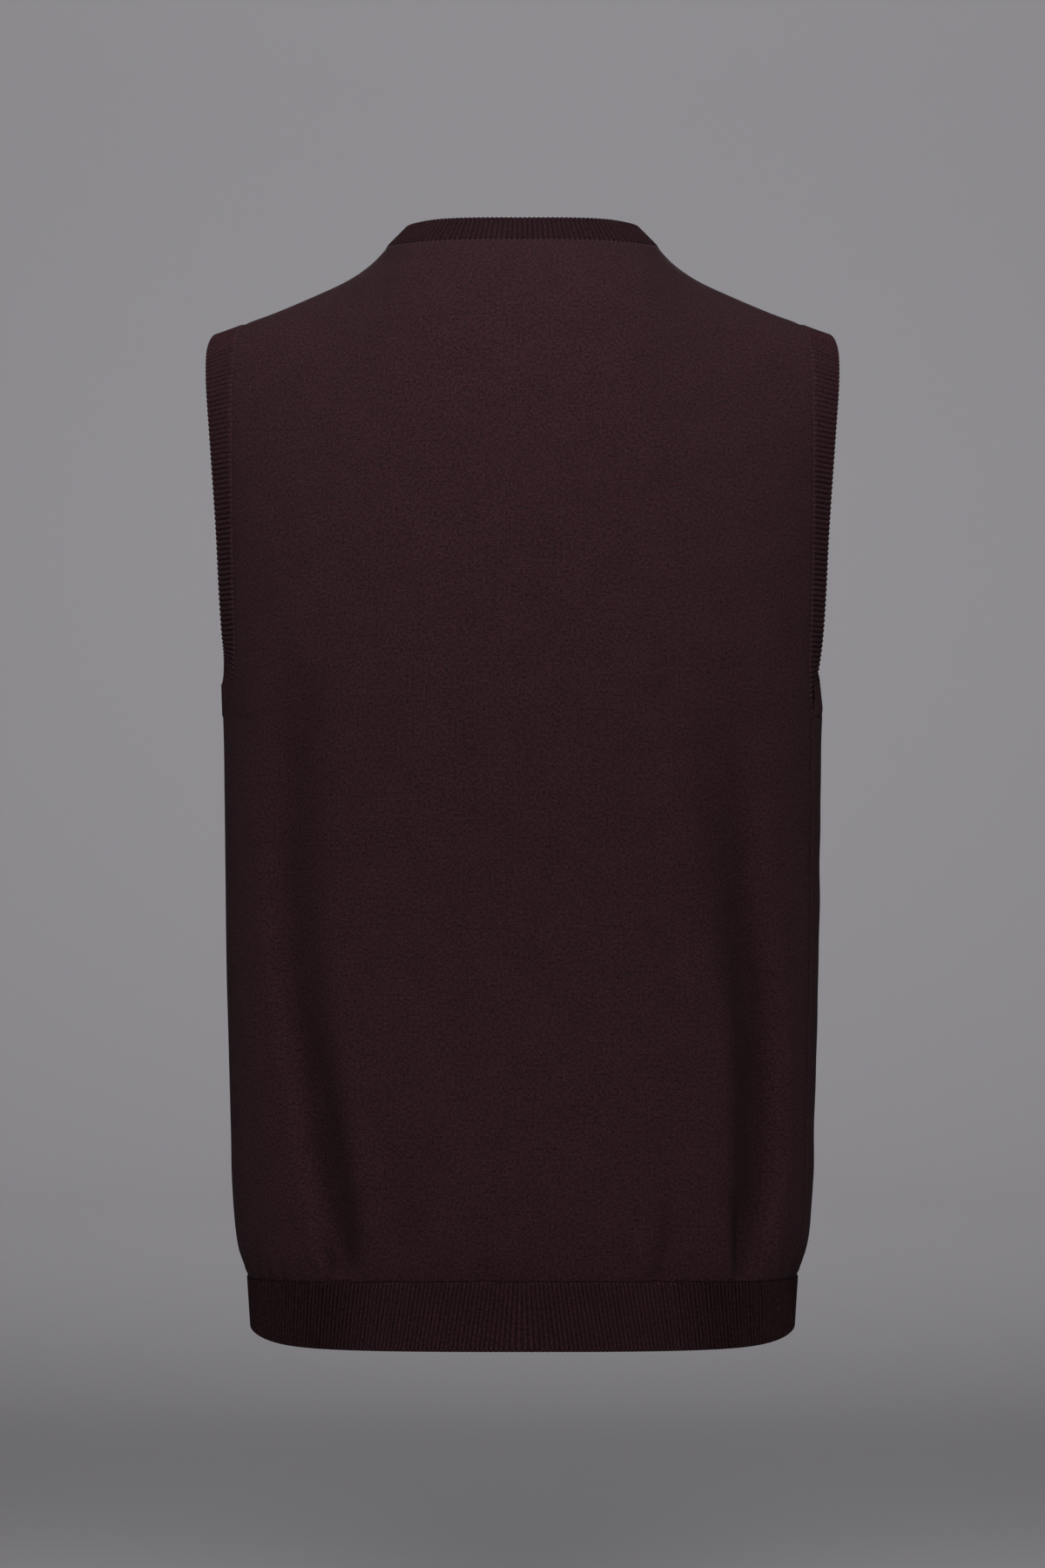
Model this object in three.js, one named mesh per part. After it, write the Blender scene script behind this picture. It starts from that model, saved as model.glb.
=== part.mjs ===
// Knitted sweater vest, hollow, filled out as when it is worn.
// Millimetres. +Z is up, +X is the wearer's right, +Y is the wearer's front.
// The origin lies midway between the two points where the shoulders meet the neck.
import * as THREE from 'three';

// Thicknesses, and the gap between two pieces at a seam
const CLOTH = 1.6;
const RIB_VALLEY = 1.4;
const RIB_RIDGE = 0.8;
const SEAM_GAP = 0.35;
const SIDE_SEAM_GAP = 0.45;

// Heights of the main levels
const UNDERARM_Z = -285;
const HEM_SEAM_SIDE_Z = -621;
const HEM_SEAM_CENTRE_Z = -616;
const HEM_Z = -657;
// How far the hem's edge rises at the very sides, and how quickly that fades inwards
const HEM_LIFT = 6;
const HEM_LIFT_FADE = 8;

// The side seams lie at these depths, a little to the back on the wearer's right.
const SIDE_SEAM_Y_RIGHT = -42;
const SIDE_SEAM_Y_LEFT = -10;

// Band widths, and rib counts: one ridge and one valley each
const NECKBAND_WIDTH = 18;
const ARMHOLE_BAND_WIDTH = 20;
const HEM_RIBS = 160;
const NECK_RIBS = 250;
const ARMHOLE_RIBS = 190;

// Places along the top edge, as shares of the way from the middle to the side line
const NECK_POINT = 0.44;
const SHOULDER_TIP = 0.888;

// Columns and rows of a panel
const SHOULDER_CELLS = 9;
const NECK_CELLS_PER_SIDE = 7;
// Rows as shares of the way from the hem seam to the underarm
const LOWER_ROWS = [0, 0.013, 0.032, 0.06, 0.1, 0.18, 0.28, 0.39, 0.5, 0.62, 0.75, 0.88, 1];
// and of the way from the underarm to the top edge, close where the armhole is round
const UPPER_ROWS = [
  0.004, 0.0155, 0.034, 0.058, 0.088, 0.125, 0.2, 0.3, 0.41, 0.53, 0.65, 0.77, 0.89, 1,
];

// Half width of the trunk, how far its back and front stand from the side line, and
// the power of its cross section: 2 is an ellipse, and more has flatter sides
const BODY = table(['z', 'halfWidth', 'back', 'front', 'power'], [
  [-657, 163.6, 102, 101, 3.15],
  [-640, 164.4, 101, 100, 3.0],
  [-621, 165.9, 101, 100, 2.8],
  [-614, 168.3, 104, 103, 2.75],
  [-604, 171.8, 107, 106, 2.7],
  [-590, 174.1, 109, 108, 2.65],
  [-563, 176.0, 110, 110, 2.6],
  [-537, 176.6, 109, 112, 2.55],
  [-484, 178.1, 107, 114, 2.5],
  [-431, 179.5, 107, 115, 2.45],
  [-378, 180.1, 110, 115, 2.4],
  [-325, 180.6, 115, 114, 2.37],
  [-285, 180.9, 118, 113, 2.35],
]);

// The shoulder line from the neck point out past the seam's tip to the side line
const SHOULDER = table(['share', 'x', 'z'], [
  [0, 83, 0],
  [0.08, 91, -8.5],
  [0.21, 105, -18.5],
  [0.41, 127, -29],
  [0.62, 150, -39],
  [0.8, 168, -46],
  [1, 190, -57],
]);
const SHOULDER_LEAN_AT_NECK = 78;
const SHOULDER_LEAN_AT_SIDE = 86;
const SHOULDER_REACH_AT_NECK = 80;
const SHOULDER_REACH_AT_SIDE = 58;

// The neck seam from the middle out to the neck point. Lean is the cloth's tilt there,
// in degrees from upright, and reach is how far below the edge that tilt is felt. The
// neckband's width points toward (towardX, towardY, towardZ).
const NECK_COLUMNS = [
  'share', 'x', 'y', 'z', 'lean', 'reach', 'towardX', 'towardY', 'towardZ',
];
const NECK_BACK = table(NECK_COLUMNS, [
  [0.0, 0, -62, -1.0, 50, 50, 0.0, 0.64, 0.77],
  [0.3, 30, -58.5, -1.3, 51, 50, -0.2, 0.6, 0.77],
  [0.58, 56, -48, -2.2, 56, 52, -0.42, 0.47, 0.78],
  [0.8, 73, -32, -1.9, 64, 58, -0.57, 0.28, 0.77],
  [0.93, 81, -14, -0.1, 74, 66, -0.62, 0.13, 0.77],
  [1.0, 83, 0, 0.0, 78, 80, -0.63, 0.0, 0.77],
]);
const NECK_FRONT = table(NECK_COLUMNS, [
  [0.0, 0, 110, -212, 5, 20, -0.93, -0.06, 0.36],
  [0.22, 20.5, 106, -156, 6, 35, -0.93, -0.06, 0.36],
  [0.42, 39, 97, -102, 13, 46, -0.92, -0.14, 0.37],
  [0.6, 55, 79, -50, 24, 54, -0.88, -0.26, 0.4],
  [0.76, 68, 54, -17, 43, 60, -0.8, -0.24, 0.55],
  [0.9, 78, 26, -3, 64, 70, -0.7, -0.12, 0.7],
  [1.0, 83, 0, 0, 78, 80, -0.63, 0.0, 0.77],
]);

// The armhole seam: how far behind and before the side line it runs, measured along
// the cloth. Spread grows from 0 at the side seam to 1 above the rounded bottom, and
// flare is the part of the band's width that points straight outwards.
const ARMHOLE = table(['rise', 'back', 'front', 'spread', 'flare'], [
  [0, 50, 48, 0, 0],
  [0.004, 50, 48, 0.25, 0.04],
  [0.0155, 50, 48, 0.49, 0.1],
  [0.034, 50, 48, 0.69, 0.19],
  [0.058, 50, 48, 0.85, 0.27],
  [0.088, 49.5, 47.5, 0.95, 0.34],
  [0.125, 48.5, 46.5, 1, 0.38],
  [0.3, 44, 42, 1, 0.4],
  [0.5, 38.5, 37, 1, 0.53],
  [0.65, 34.5, 33.5, 1, 0.65],
  [0.8, 31, 30.5, 1, 0.78],
  [0.9, 29, 29, 1, 0.87],
  [1, 27.5, 27.5, 1, 0.95],
]);

// Long soft folds as troughs in the cloth: the line they follow, the half width at
// which they have faded, and their depth
const FOLD_COLUMNS = ['z', 'x', 'reach', 'depth'];
const BACK_FOLDS = [
  table(FOLD_COLUMNS, [
    [-606, -104, 26, 0],
    [-590, -104, 26, 3],
    [-546, -110, 28, 4],
    [-507, -115, 30, 3.6],
    [-440, -125, 32, 2.6],
    [-376, -129, 34, 1.8],
    [-300, -126, 34, 1],
    [-244, -124, 34, 0],
  ]),
  table(FOLD_COLUMNS, [
    [-612, 130, 24, 0],
    [-598, 131, 25, 3.6],
    [-559, 134, 27, 5],
    [-507, 134, 28, 4.6],
    [-455, 131, 30, 3.6],
    [-390, 121, 30, 2],
    [-320, 117, 30, 0],
  ]),
];
const FRONT_FOLDS = [
  table(FOLD_COLUMNS, [
    [-608, -116, 25, 0],
    [-590, -117, 26, 3.2],
    [-535, -122, 28, 4.2],
    [-470, -126, 30, 2.8],
    [-400, -122, 32, 1.4],
    [-330, -118, 32, 0],
  ]),
  table(FOLD_COLUMNS, [
    [-606, 98, 25, 0],
    [-588, 100, 26, 2.6],
    [-520, 108, 29, 3.4],
    [-450, 118, 31, 2.4],
    [-370, 122, 33, 1.2],
    [-290, 120, 33, 0],
  ]),
];

function table(columns, rows) {
  return rows.map((row) => Object.fromEntries(columns.map((name, i) => [name, row[i]])));
}

// Smooth value of one column, at a place along the table's first column
function read(rows, place, name) {
  const key = Object.keys(rows[0])[0];
  let i = 1;
  while (i < rows.length - 1 && place > rows[i][key]) i += 1;
  const low = rows[i - 1];
  const high = rows[i];
  const before = rows[Math.max(i - 2, 0)];
  const after = rows[Math.min(i + 1, rows.length - 1)];
  const span = high[key] - low[key];
  const t = THREE.MathUtils.clamp((place - low[key]) / span, 0, 1);
  const slopeLow = span * (high[name] - before[name]) / (high[key] - before[key]);
  const slopeHigh = span * (after[name] - low[name]) / (after[key] - low[key]);
  const t2 = t * t;
  const t3 = t2 * t;
  return (2 * t3 - 3 * t2 + 1) * low[name] + (t3 - 2 * t2 + t) * slopeLow
    + (3 * t2 - 2 * t3) * high[name] + (t3 - t2) * slopeHigh;
}

// A point of the trunk. Turn runs from 0 at the wearer's right, through the back at a
// quarter turn, to half a turn at the left; turns below 0 run through the front.
function section(z, turn) {
  const across = Math.cos(turn);
  const deep = Math.sin(turn);
  const depth = read(BODY, z, deep >= 0 ? 'back' : 'front');
  const exponent = 2 / read(BODY, z, 'power');
  const x = Math.sign(across) * Math.abs(across) ** exponent;
  const y = -Math.sign(deep) * Math.abs(deep) ** exponent;
  return new THREE.Vector3(x * read(BODY, z, 'halfWidth'), y * depth, z);
}

// The girth line: how far along the cloth each turn lies from the right side line, at
// the underarm. It goes a little past the left side line both ways.
const GIRTH_STEPS = 1600;
const GIRTH_END = Math.PI * 1.2;
const girth = measureGirth();
const BACK_GIRTH = girthAt(Math.PI);
const FRONT_GIRTH = -girthAt(-Math.PI);

function measureGirth() {
  const turns = [];
  const lengths = [];
  let last = null;
  for (let i = 0; i <= GIRTH_STEPS; i += 1) {
    const turn = THREE.MathUtils.lerp(-GIRTH_END, GIRTH_END, i / GIRTH_STEPS);
    const point = section(UNDERARM_Z, turn);
    turns.push(turn);
    lengths.push(last ? lengths[i - 1] + point.distanceTo(last) : 0);
    last = point;
  }
  const middle = lengths[GIRTH_STEPS / 2];
  return { turns, lengths: lengths.map((length) => length - middle) };
}

function between(from, to, place) {
  let low = 0;
  let high = from.length - 1;
  while (high - low > 1) {
    const middle = (low + high) >> 1;
    if (place > from[middle]) low = middle;
    else high = middle;
  }
  const part = (place - from[low]) / (from[high] - from[low]);
  return THREE.MathUtils.lerp(to[low], to[high], part);
}

function girthAt(turn) {
  return between(girth.turns, girth.lengths, turn);
}

function turnAt(length) {
  return between(girth.lengths, girth.turns, length);
}

// Girth at which the underarm section has a given depth, near the right side line
function girthAtDepth(y) {
  const share = -y / read(BODY, UNDERARM_Z, 'back');
  return girthAt(Math.asin(share ** (read(BODY, UNDERARM_Z, 'power') / 2)));
}

function hemEdgeZ(turn) {
  return HEM_Z + HEM_LIFT * Math.abs(Math.cos(turn)) ** HEM_LIFT_FADE;
}

function hemSeamZ(turn) {
  return THREE.MathUtils.lerp(HEM_SEAM_SIDE_Z, HEM_SEAM_CENTRE_Z, Math.sin(turn) ** 2);
}

// Which half of the girth a place lies in, and how far to the right of its middle
function halfOf(length) {
  if (length > BACK_GIRTH) {
    return { isBack: false, right: length - BACK_GIRTH - FRONT_GIRTH / 2 };
  }
  if (length < -FRONT_GIRTH) {
    return { isBack: true, right: -FRONT_GIRTH - length - BACK_GIRTH / 2 };
  }
  const isBack = length >= 0;
  return { isBack, right: isBack ? BACK_GIRTH / 2 - length : length + FRONT_GIRTH / 2 };
}

// The top edge above a place on the girth line, with the tilt of the cloth there
function topEdge(length) {
  const { isBack, right } = halfOf(length);
  const hand = right >= 0 ? 1 : -1;
  const out = Math.min(2 * Math.abs(right) / (isBack ? BACK_GIRTH : FRONT_GIRTH), 1);
  const forward = isBack ? 1 : -1;
  if (out >= NECK_POINT) {
    const share = (out - NECK_POINT) / (1 - NECK_POINT);
    const x = hand * read(SHOULDER, share, 'x');
    const point = new THREE.Vector3(x, -forward * SEAM_GAP / 2, read(SHOULDER, share, 'z'));
    const reach = THREE.MathUtils.lerp(SHOULDER_REACH_AT_NECK, SHOULDER_REACH_AT_SIDE, share);
    const lean = THREE.MathUtils.lerp(SHOULDER_LEAN_AT_NECK, SHOULDER_LEAN_AT_SIDE, share);
    return { point, forward, out, lean, reach };
  }
  const rows = isBack ? NECK_BACK : NECK_FRONT;
  const share = out / NECK_POINT;
  const seamSide = -forward * (SEAM_GAP / 2) * share ** 8;
  const y = read(rows, share, 'y') + seamSide;
  const point = new THREE.Vector3(hand * read(rows, share, 'x'), y, read(rows, share, 'z'));
  return { point, forward, out, lean: read(rows, share, 'lean'), reach: read(rows, share, 'reach') };
}

// A point above the underarm, on the smooth form that the armholes are cut from. A
// column is upright where it starts and tilts to the top edge's lean.
const COLUMN_UPRIGHT = 0.55;
const BLADE_BULGE = 8;
const CHEST_BULGE = 2;
const SIDE_FULLNESS_LOW = 10;
const SIDE_FULLNESS_HIGH = 28;

function upperPoint(length, rise) {
  const start = section(UNDERARM_Z, turnAt(length));
  const { point, forward, out, lean, reach } = topEdge(length);
  const tilt = THREE.MathUtils.degToRad(lean);
  const bulge = (forward > 0 ? BLADE_BULGE : CHEST_BULGE) * (1 - out ** 2);
  const low = start.clone();
  low.x += Math.sign(point.x) * SIDE_FULLNESS_LOW * out ** 4;
  low.y -= forward * bulge;
  low.z += COLUMN_UPRIGHT * (point.z - start.z);
  const high = point.clone();
  high.x += Math.sign(point.x) * SIDE_FULLNESS_HIGH * out ** 4;
  high.y -= forward * reach * Math.sin(tilt);
  high.z -= reach * Math.cos(tilt);
  return new THREE.CubicBezierCurve3(start, low, high, point).getPoint(rise);
}

// One panel of the body. Share runs from 0 at the wearer's right edge to 1 at the left
// one, and rise from -1 at the hem seam, through 0 at the underarm, to 1 at the top.
class Panel {
  constructor(side, folds) {
    this.isBack = side === 'back';
    this.folds = folds;
    this.direction = this.isBack ? 1 : -1;
    this.seamRight = girthAtDepth(SIDE_SEAM_Y_RIGHT) + this.direction * SIDE_SEAM_GAP / 2;
    this.seamLeft = this.isBack
      ? BACK_GIRTH - girthAtDepth(SIDE_SEAM_Y_LEFT) - SIDE_SEAM_GAP / 2
      : -FRONT_GIRTH - girthAtDepth(SIDE_SEAM_Y_LEFT) + SIDE_SEAM_GAP / 2;
    this.shares = this.columnShares();
  }

  // Girth of a place across the panel: between the side seams, or between the armholes
  girthOf(share, rise) {
    const level = Math.max(rise, 0);
    const inset = read(ARMHOLE, level, this.isBack ? 'back' : 'front');
    const spread = read(ARMHOLE, level, 'spread');
    const end = this.isBack ? BACK_GIRTH - inset : inset - FRONT_GIRTH;
    const right = THREE.MathUtils.lerp(this.seamRight, this.direction * inset, spread);
    const left = THREE.MathUtils.lerp(this.seamLeft, end, spread);
    return THREE.MathUtils.lerp(right, left, share);
  }

  base(share, rise) {
    const length = this.girthOf(share, rise);
    if (rise > 0) return upperPoint(length, rise);
    const turn = turnAt(length);
    return section(THREE.MathUtils.lerp(UNDERARM_Z, hemSeamZ(turn), -rise), turn);
  }

  // Outward normal, from small steps along the smooth form
  normal(share, rise) {
    const step = 0.05;
    const length = this.girthOf(share, rise);
    const at = (place, level) => {
      if (level > 0) return upperPoint(place, level);
      const turn = turnAt(place);
      return section(THREE.MathUtils.lerp(UNDERARM_Z, hemSeamZ(turn), -level), turn);
    };
    const low = rise > 0 ? rise - 0.0005 : Math.max(rise - 0.0005, -1);
    const high = rise > 0 ? Math.min(rise + 0.0005, 1) : Math.min(rise + 0.0005, 0);
    const along = at(length + step, rise).sub(at(length - step, rise));
    const up = at(length, high).sub(at(length, low));
    const out = up.cross(along);
    if (rise === 1 && this.outAt(share) >= NECK_POINT - 0.0001) out.y = 0;
    return out.normalize();
  }

  // Share of the way from the middle to the side line, along the top edge
  outAt(share) {
    return SHOULDER_TIP * Math.abs(1 - 2 * share);
  }

  foldDepth(point) {
    let depth = 0;
    for (const fold of this.folds) {
      const inside = point.z > fold[0].z && point.z < fold[fold.length - 1].z;
      if (!inside) continue;
      const off = Math.abs(point.x - read(fold, point.z, 'x')) / read(fold, point.z, 'reach');
      const fade = off < 1 ? Math.cos(off * Math.PI / 2) ** 2 : 0;
      depth += Math.max(read(fold, point.z, 'depth'), 0) * fade;
    }
    return depth;
  }

  columnShares() {
    const neckPoint = (1 - NECK_POINT / SHOULDER_TIP) / 2;
    const shares = [];
    for (let i = 0; i < SHOULDER_CELLS; i += 1) shares.push(neckPoint * i / SHOULDER_CELLS);
    for (let i = 0; i < NECK_CELLS_PER_SIDE; i += 1) {
      shares.push(THREE.MathUtils.lerp(neckPoint, 0.5, i / NECK_CELLS_PER_SIDE));
    }
    return [...shares, 0.5, ...shares.map((share) => 1 - share).reverse()];
  }

  build() {
    const rises = [...LOWER_ROWS.map((row) => row - 1), ...UPPER_ROWS];
    this.rows = rises.map((rise) => this.shares.map((share) => {
      const normal = this.normal(share, rise);
      const base = this.base(share, rise);
      const outer = base.clone().addScaledVector(normal, -this.foldDepth(base));
      const inner = outer.clone().addScaledVector(normal, -CLOTH);
      return { outer, inner, normal, rise, out: this.outAt(share) };
    }));
    const line = (name) => (row) => ({ points: row.map((cell) => cell[name]), places: this.shares });
    const outerLines = this.rows.map(line('outer'));
    const innerLines = this.rows.map(line('inner')).reverse();
    return clothSolid([...outerLines, ...innerLines], false);
  }

  // Cells of the armhole edge from the underarm up, on the right (hand 1) or left (-1)
  armholeCells(hand) {
    const column = hand > 0 ? 0 : this.shares.length - 1;
    return this.rows.slice(LOWER_ROWS.length - 1).map((row) => row[column]);
  }

  // Cells of the neck edge from the wearer's right to the left
  neckCells() {
    const top = this.rows[this.rows.length - 1];
    return top.slice(SHOULDER_CELLS, top.length - SHOULDER_CELLS);
  }
}

// Shares of a line's whole length at each of its points
function lengthShares(points, closed) {
  const loop = closed ? [...points, points[0]] : points;
  const lengths = [0];
  for (let i = 1; i < loop.length; i += 1) {
    lengths.push(lengths[i - 1] + loop[i].distanceTo(loop[i - 1]));
  }
  return lengths.map((length) => length / lengths[lengths.length - 1]);
}

// A closed wall from the lines that run along it, in their order round its section. The
// places of a line's points run from 0 to 1, and neighbours are joined place by place.
function clothSolid(lines, closed) {
  const positions = [];
  const triangles = [];
  const known = new Map();
  const indexOf = (point) => {
    const key = point.toArray().map((value) => Math.round(value * 1e4)).join();
    if (!known.has(key)) {
      known.set(key, positions.length / 3);
      positions.push(...point.toArray());
    }
    return known.get(key);
  };
  const addTriangle = (a, b, c) => {
    if (a !== b && b !== c && c !== a) triangles.push(a, b, c);
  };
  const indexed = lines.map(({ points, places }) => {
    const indices = points.map(indexOf);
    return { indices: closed ? [...indices, indices[0]] : indices, places };
  });
  indexed.forEach((line, k) => {
    const next = indexed[(k + 1) % indexed.length];
    const lineEnd = line.indices.length - 1;
    const nextEnd = next.indices.length - 1;
    let i = 0;
    let j = 0;
    while (i < lineEnd || j < nextEnd) {
      const lineFirst = lineEnd === nextEnd ? i === j : line.places[i + 1] <= next.places[j + 1];
      if (i < lineEnd && (j === nextEnd || lineFirst)) {
        addTriangle(line.indices[i], line.indices[i + 1], next.indices[j]);
        i += 1;
      } else {
        addTriangle(line.indices[i], next.indices[j + 1], next.indices[j]);
        j += 1;
      }
    }
  });
  const last = indexed.length - 1;
  for (let k = 0; !closed && k < (last - 1) / 2; k += 1) {
    const ring = [indexed[k], indexed[k + 1], indexed[last - k - 1], indexed[last - k]];
    const start = ring.map((line) => line.indices[0]);
    const end = ring.map((line) => line.indices[line.indices.length - 1]);
    addTriangle(start[0], start[1], start[2]);
    addTriangle(start[0], start[2], start[3]);
    addTriangle(end[0], end[2], end[1]);
    addTriangle(end[0], end[3], end[2]);
  }
  if (enclosedVolume(positions, triangles) < 0) triangles.reverse();
  const geometry = new THREE.BufferGeometry();
  geometry.setAttribute('position', new THREE.Float32BufferAttribute(positions, 3));
  geometry.setIndex(triangles);
  geometry.computeVertexNormals();
  return geometry;
}

function enclosedVolume(positions, triangles) {
  const corner = (index) => new THREE.Vector3().fromArray(positions, 3 * index);
  let volume = 0;
  for (let i = 0; i < triangles.length; i += 3) {
    const [a, b, c] = triangles.slice(i, i + 3).map(corner);
    volume += a.dot(b.cross(c)) / 6;
  }
  return volume;
}

// A ribbed band. Stations give its sewn edge and its free edge with their normals.
// Ridges and valleys stand on the outer side, and the inner side is plain.
function ribbedBand(stations, ribs, closed) {
  const stationPlaces = lengthShares(stations.map((station) => station.sewn), closed);
  const ribPlaces = [];
  const outerSewn = [];
  const outerFree = [];
  for (let k = 0; k <= 2 * ribs; k += 1) ribPlaces.push(k / (2 * ribs));
  let i = 1;
  ribPlaces.slice(0, closed ? -1 : undefined).forEach((place, k) => {
    while (i < stationPlaces.length - 1 && place > stationPlaces[i]) i += 1;
    const part = (place - stationPlaces[i - 1]) / (stationPlaces[i] - stationPlaces[i - 1]);
    const from = stations[i - 1];
    const to = stations[i % stations.length];
    const mixed = (name) => from[name].clone().lerp(to[name], part);
    const ridge = k % 2 === 1 ? RIB_RIDGE : 0;
    outerSewn.push(mixed('sewn').addScaledVector(mixed('sewnNormal').normalize(), ridge));
    outerFree.push(mixed('free').addScaledVector(mixed('freeNormal').normalize(), ridge));
  });
  const inside = (point, normal) => point.clone().addScaledVector(normal, -RIB_VALLEY);
  const innerFree = stations.map((station) => inside(station.free, station.freeNormal));
  const innerSewn = stations.map((station) => inside(station.sewn, station.sewnNormal));
  return clothSolid([
    { points: outerSewn, places: ribPlaces },
    { points: outerFree, places: ribPlaces },
    { points: innerFree, places: stationPlaces },
    { points: innerSewn, places: stationPlaces },
  ], closed);
}

// Direction of a line of points at one of them
function directionAt(points, i, closed) {
  const count = points.length;
  const before = closed ? (i + count - 1) % count : Math.max(i - 1, 0);
  const after = closed ? (i + 1) % count : Math.min(i + 1, count - 1);
  return points[after].clone().sub(points[before]).normalize();
}

// The normal of a band at its free edge, on the same side as the cloth's own
function bandNormal(along, across, clothNormal) {
  const normal = along.clone().cross(across).normalize();
  return normal.dot(clothNormal) < 0 ? normal.negate() : normal;
}

// The band round one armhole, sewn to both panels from the underarm up
function armholeBand(back, front, hand) {
  const cells = [...back.armholeCells(hand), ...front.armholeCells(hand).reverse()];
  const seam = cells.map((cell) => cell.outer);
  const middle = new THREE.Vector3();
  seam.forEach((point) => middle.addScaledVector(point, 1 / seam.length));
  const stations = cells.map((cell, i) => {
    const along = directionAt(seam, i, true);
    const across = new THREE.Vector3(0, along.z, -along.y).normalize();
    if (across.dot(middle.clone().sub(cell.outer)) < 0) across.negate();
    const flare = read(ARMHOLE, cell.rise, 'flare');
    across.multiplyScalar(Math.sqrt(1 - flare ** 2));
    across.x = hand * flare;
    return {
      sewn: cell.outer.clone().addScaledVector(across, SEAM_GAP),
      sewnNormal: cell.normal,
      free: cell.outer.clone().addScaledVector(across, ARMHOLE_BAND_WIDTH),
      freeNormal: bandNormal(along, across, cell.normal),
    };
  });
  return ribbedBand(stations, ARMHOLE_RIBS, true);
}

// The neckband, from the mitre at the point of the V round the neck and back to it.
// Beside the mitre its free edge is cut off on the middle line.
function neckBand(back, front) {
  const frontCells = front.neckCells();
  const middle = (frontCells.length - 1) / 2;
  const runs = [
    { cells: frontCells.slice(0, middle + 1).reverse(), rows: NECK_FRONT, hand: 1 },
    { cells: back.neckCells(), rows: NECK_BACK, hand: 0 },
    { cells: frontCells.slice(middle).reverse(), rows: NECK_FRONT, hand: -1 },
  ];
  const path = runs.flatMap(({ cells, rows, hand }) => cells.map((cell) => ({ cell, rows, hand })));
  const seam = path.map(({ cell }) => cell.outer);
  const stations = path.map(({ cell, rows, hand }, i) => {
    const side = hand || Math.sign(cell.outer.x);
    const share = cell.out / NECK_POINT;
    const toward = new THREE.Vector3(
      side * read(rows, share, 'towardX'),
      read(rows, share, 'towardY'),
      read(rows, share, 'towardZ'),
    ).normalize();
    const fromMitre = Math.abs(cell.outer.x) - SEAM_GAP / 2;
    const cutWidth = hand ? fromMitre / Math.abs(toward.x) : NECKBAND_WIDTH;
    const freeNormal = bandNormal(directionAt(seam, i, false), toward, cell.normal);
    if (share > 0.999) freeNormal.setY(0).normalize();
    if (hand && share < 0.01) return mitreFoot(cell, toward, hand);
    return {
      sewn: cell.outer.clone().addScaledVector(toward, SEAM_GAP),
      sewnNormal: cell.normal,
      free: cell.outer.clone().addScaledVector(toward, Math.min(NECKBAND_WIDTH, cutWidth)),
      freeNormal,
    };
  });
  return ribbedBand(stations, NECK_RIBS, false);
}

// The mitre's foot, just above the panel's point, where the band is cut to nearly nothing
const MITRE_FOOT = 1.5;

function mitreFoot(cell, toward, hand) {
  const lift = SEAM_GAP / Math.abs(toward.z) + SEAM_GAP / 2 * Math.abs(toward.x / toward.z);
  const sewn = cell.outer.clone();
  sewn.x = hand * SEAM_GAP / 2;
  sewn.z += lift;
  const free = sewn.clone();
  free.z += MITRE_FOOT;
  return { sewn, sewnNormal: cell.normal, free, freeNormal: cell.normal };
}

// The hem rib under one panel
function hemBand(panel) {
  const shares = [];
  panel.shares.forEach((share, i) => {
    if (i > 0) shares.push((share + panel.shares[i - 1]) / 2);
    shares.push(share);
  });
  const stations = shares.map((share) => {
    const turn = turnAt(panel.girthOf(share, -1));
    const normal = panel.normal(share, -1);
    normal.z = 0;
    normal.normalize();
    return {
      sewn: section(hemSeamZ(turn) - SEAM_GAP, turn),
      sewnNormal: normal,
      free: section(HEM_Z, turn).setZ(hemEdgeZ(turn)),
      freeNormal: normal,
    };
  });
  return ribbedBand(stations, HEM_RIBS, false);
}

const YARN = { color: 0x2f1b20, roughness: 0.95, metalness: 0 };

function piece(name, geometry) {
  const mesh = new THREE.Mesh(geometry, new THREE.MeshStandardMaterial(YARN));
  mesh.name = name;
  return mesh;
}

const backPanel = new Panel('back', BACK_FOLDS);
const frontPanel = new Panel('front', FRONT_FOLDS);

const group = new THREE.Group();
group.name = 'sweater_vest';
group.add(piece('back_panel', backPanel.build()));
group.add(piece('front_panel', frontPanel.build()));
group.add(piece('neck_rib', neckBand(backPanel, frontPanel)));
group.add(piece('armhole_rib_right', armholeBand(backPanel, frontPanel, 1)));
group.add(piece('armhole_rib_left', armholeBand(backPanel, frontPanel, -1)));
group.add(piece('hem_rib_back', hemBand(backPanel)));
group.add(piece('hem_rib_front', hemBand(frontPanel)));

export default group;
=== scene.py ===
# %% [markdown]
# # A knitted sweater vest
# This is a fine wool vest, knitted in shaped parts and linked together. It stands as it
# does when it is worn, with nobody in it, so you can look in at the neck and the
# armholes and see the back of the knitting.
#
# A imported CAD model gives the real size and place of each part. Here each part is knitted
# again, finer, on the same form: soft folds in the plain body, round ribs in the bands,
# small linking stitches in the seams, and yarn in the material.

# %% Load the fixed frame
import math

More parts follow.
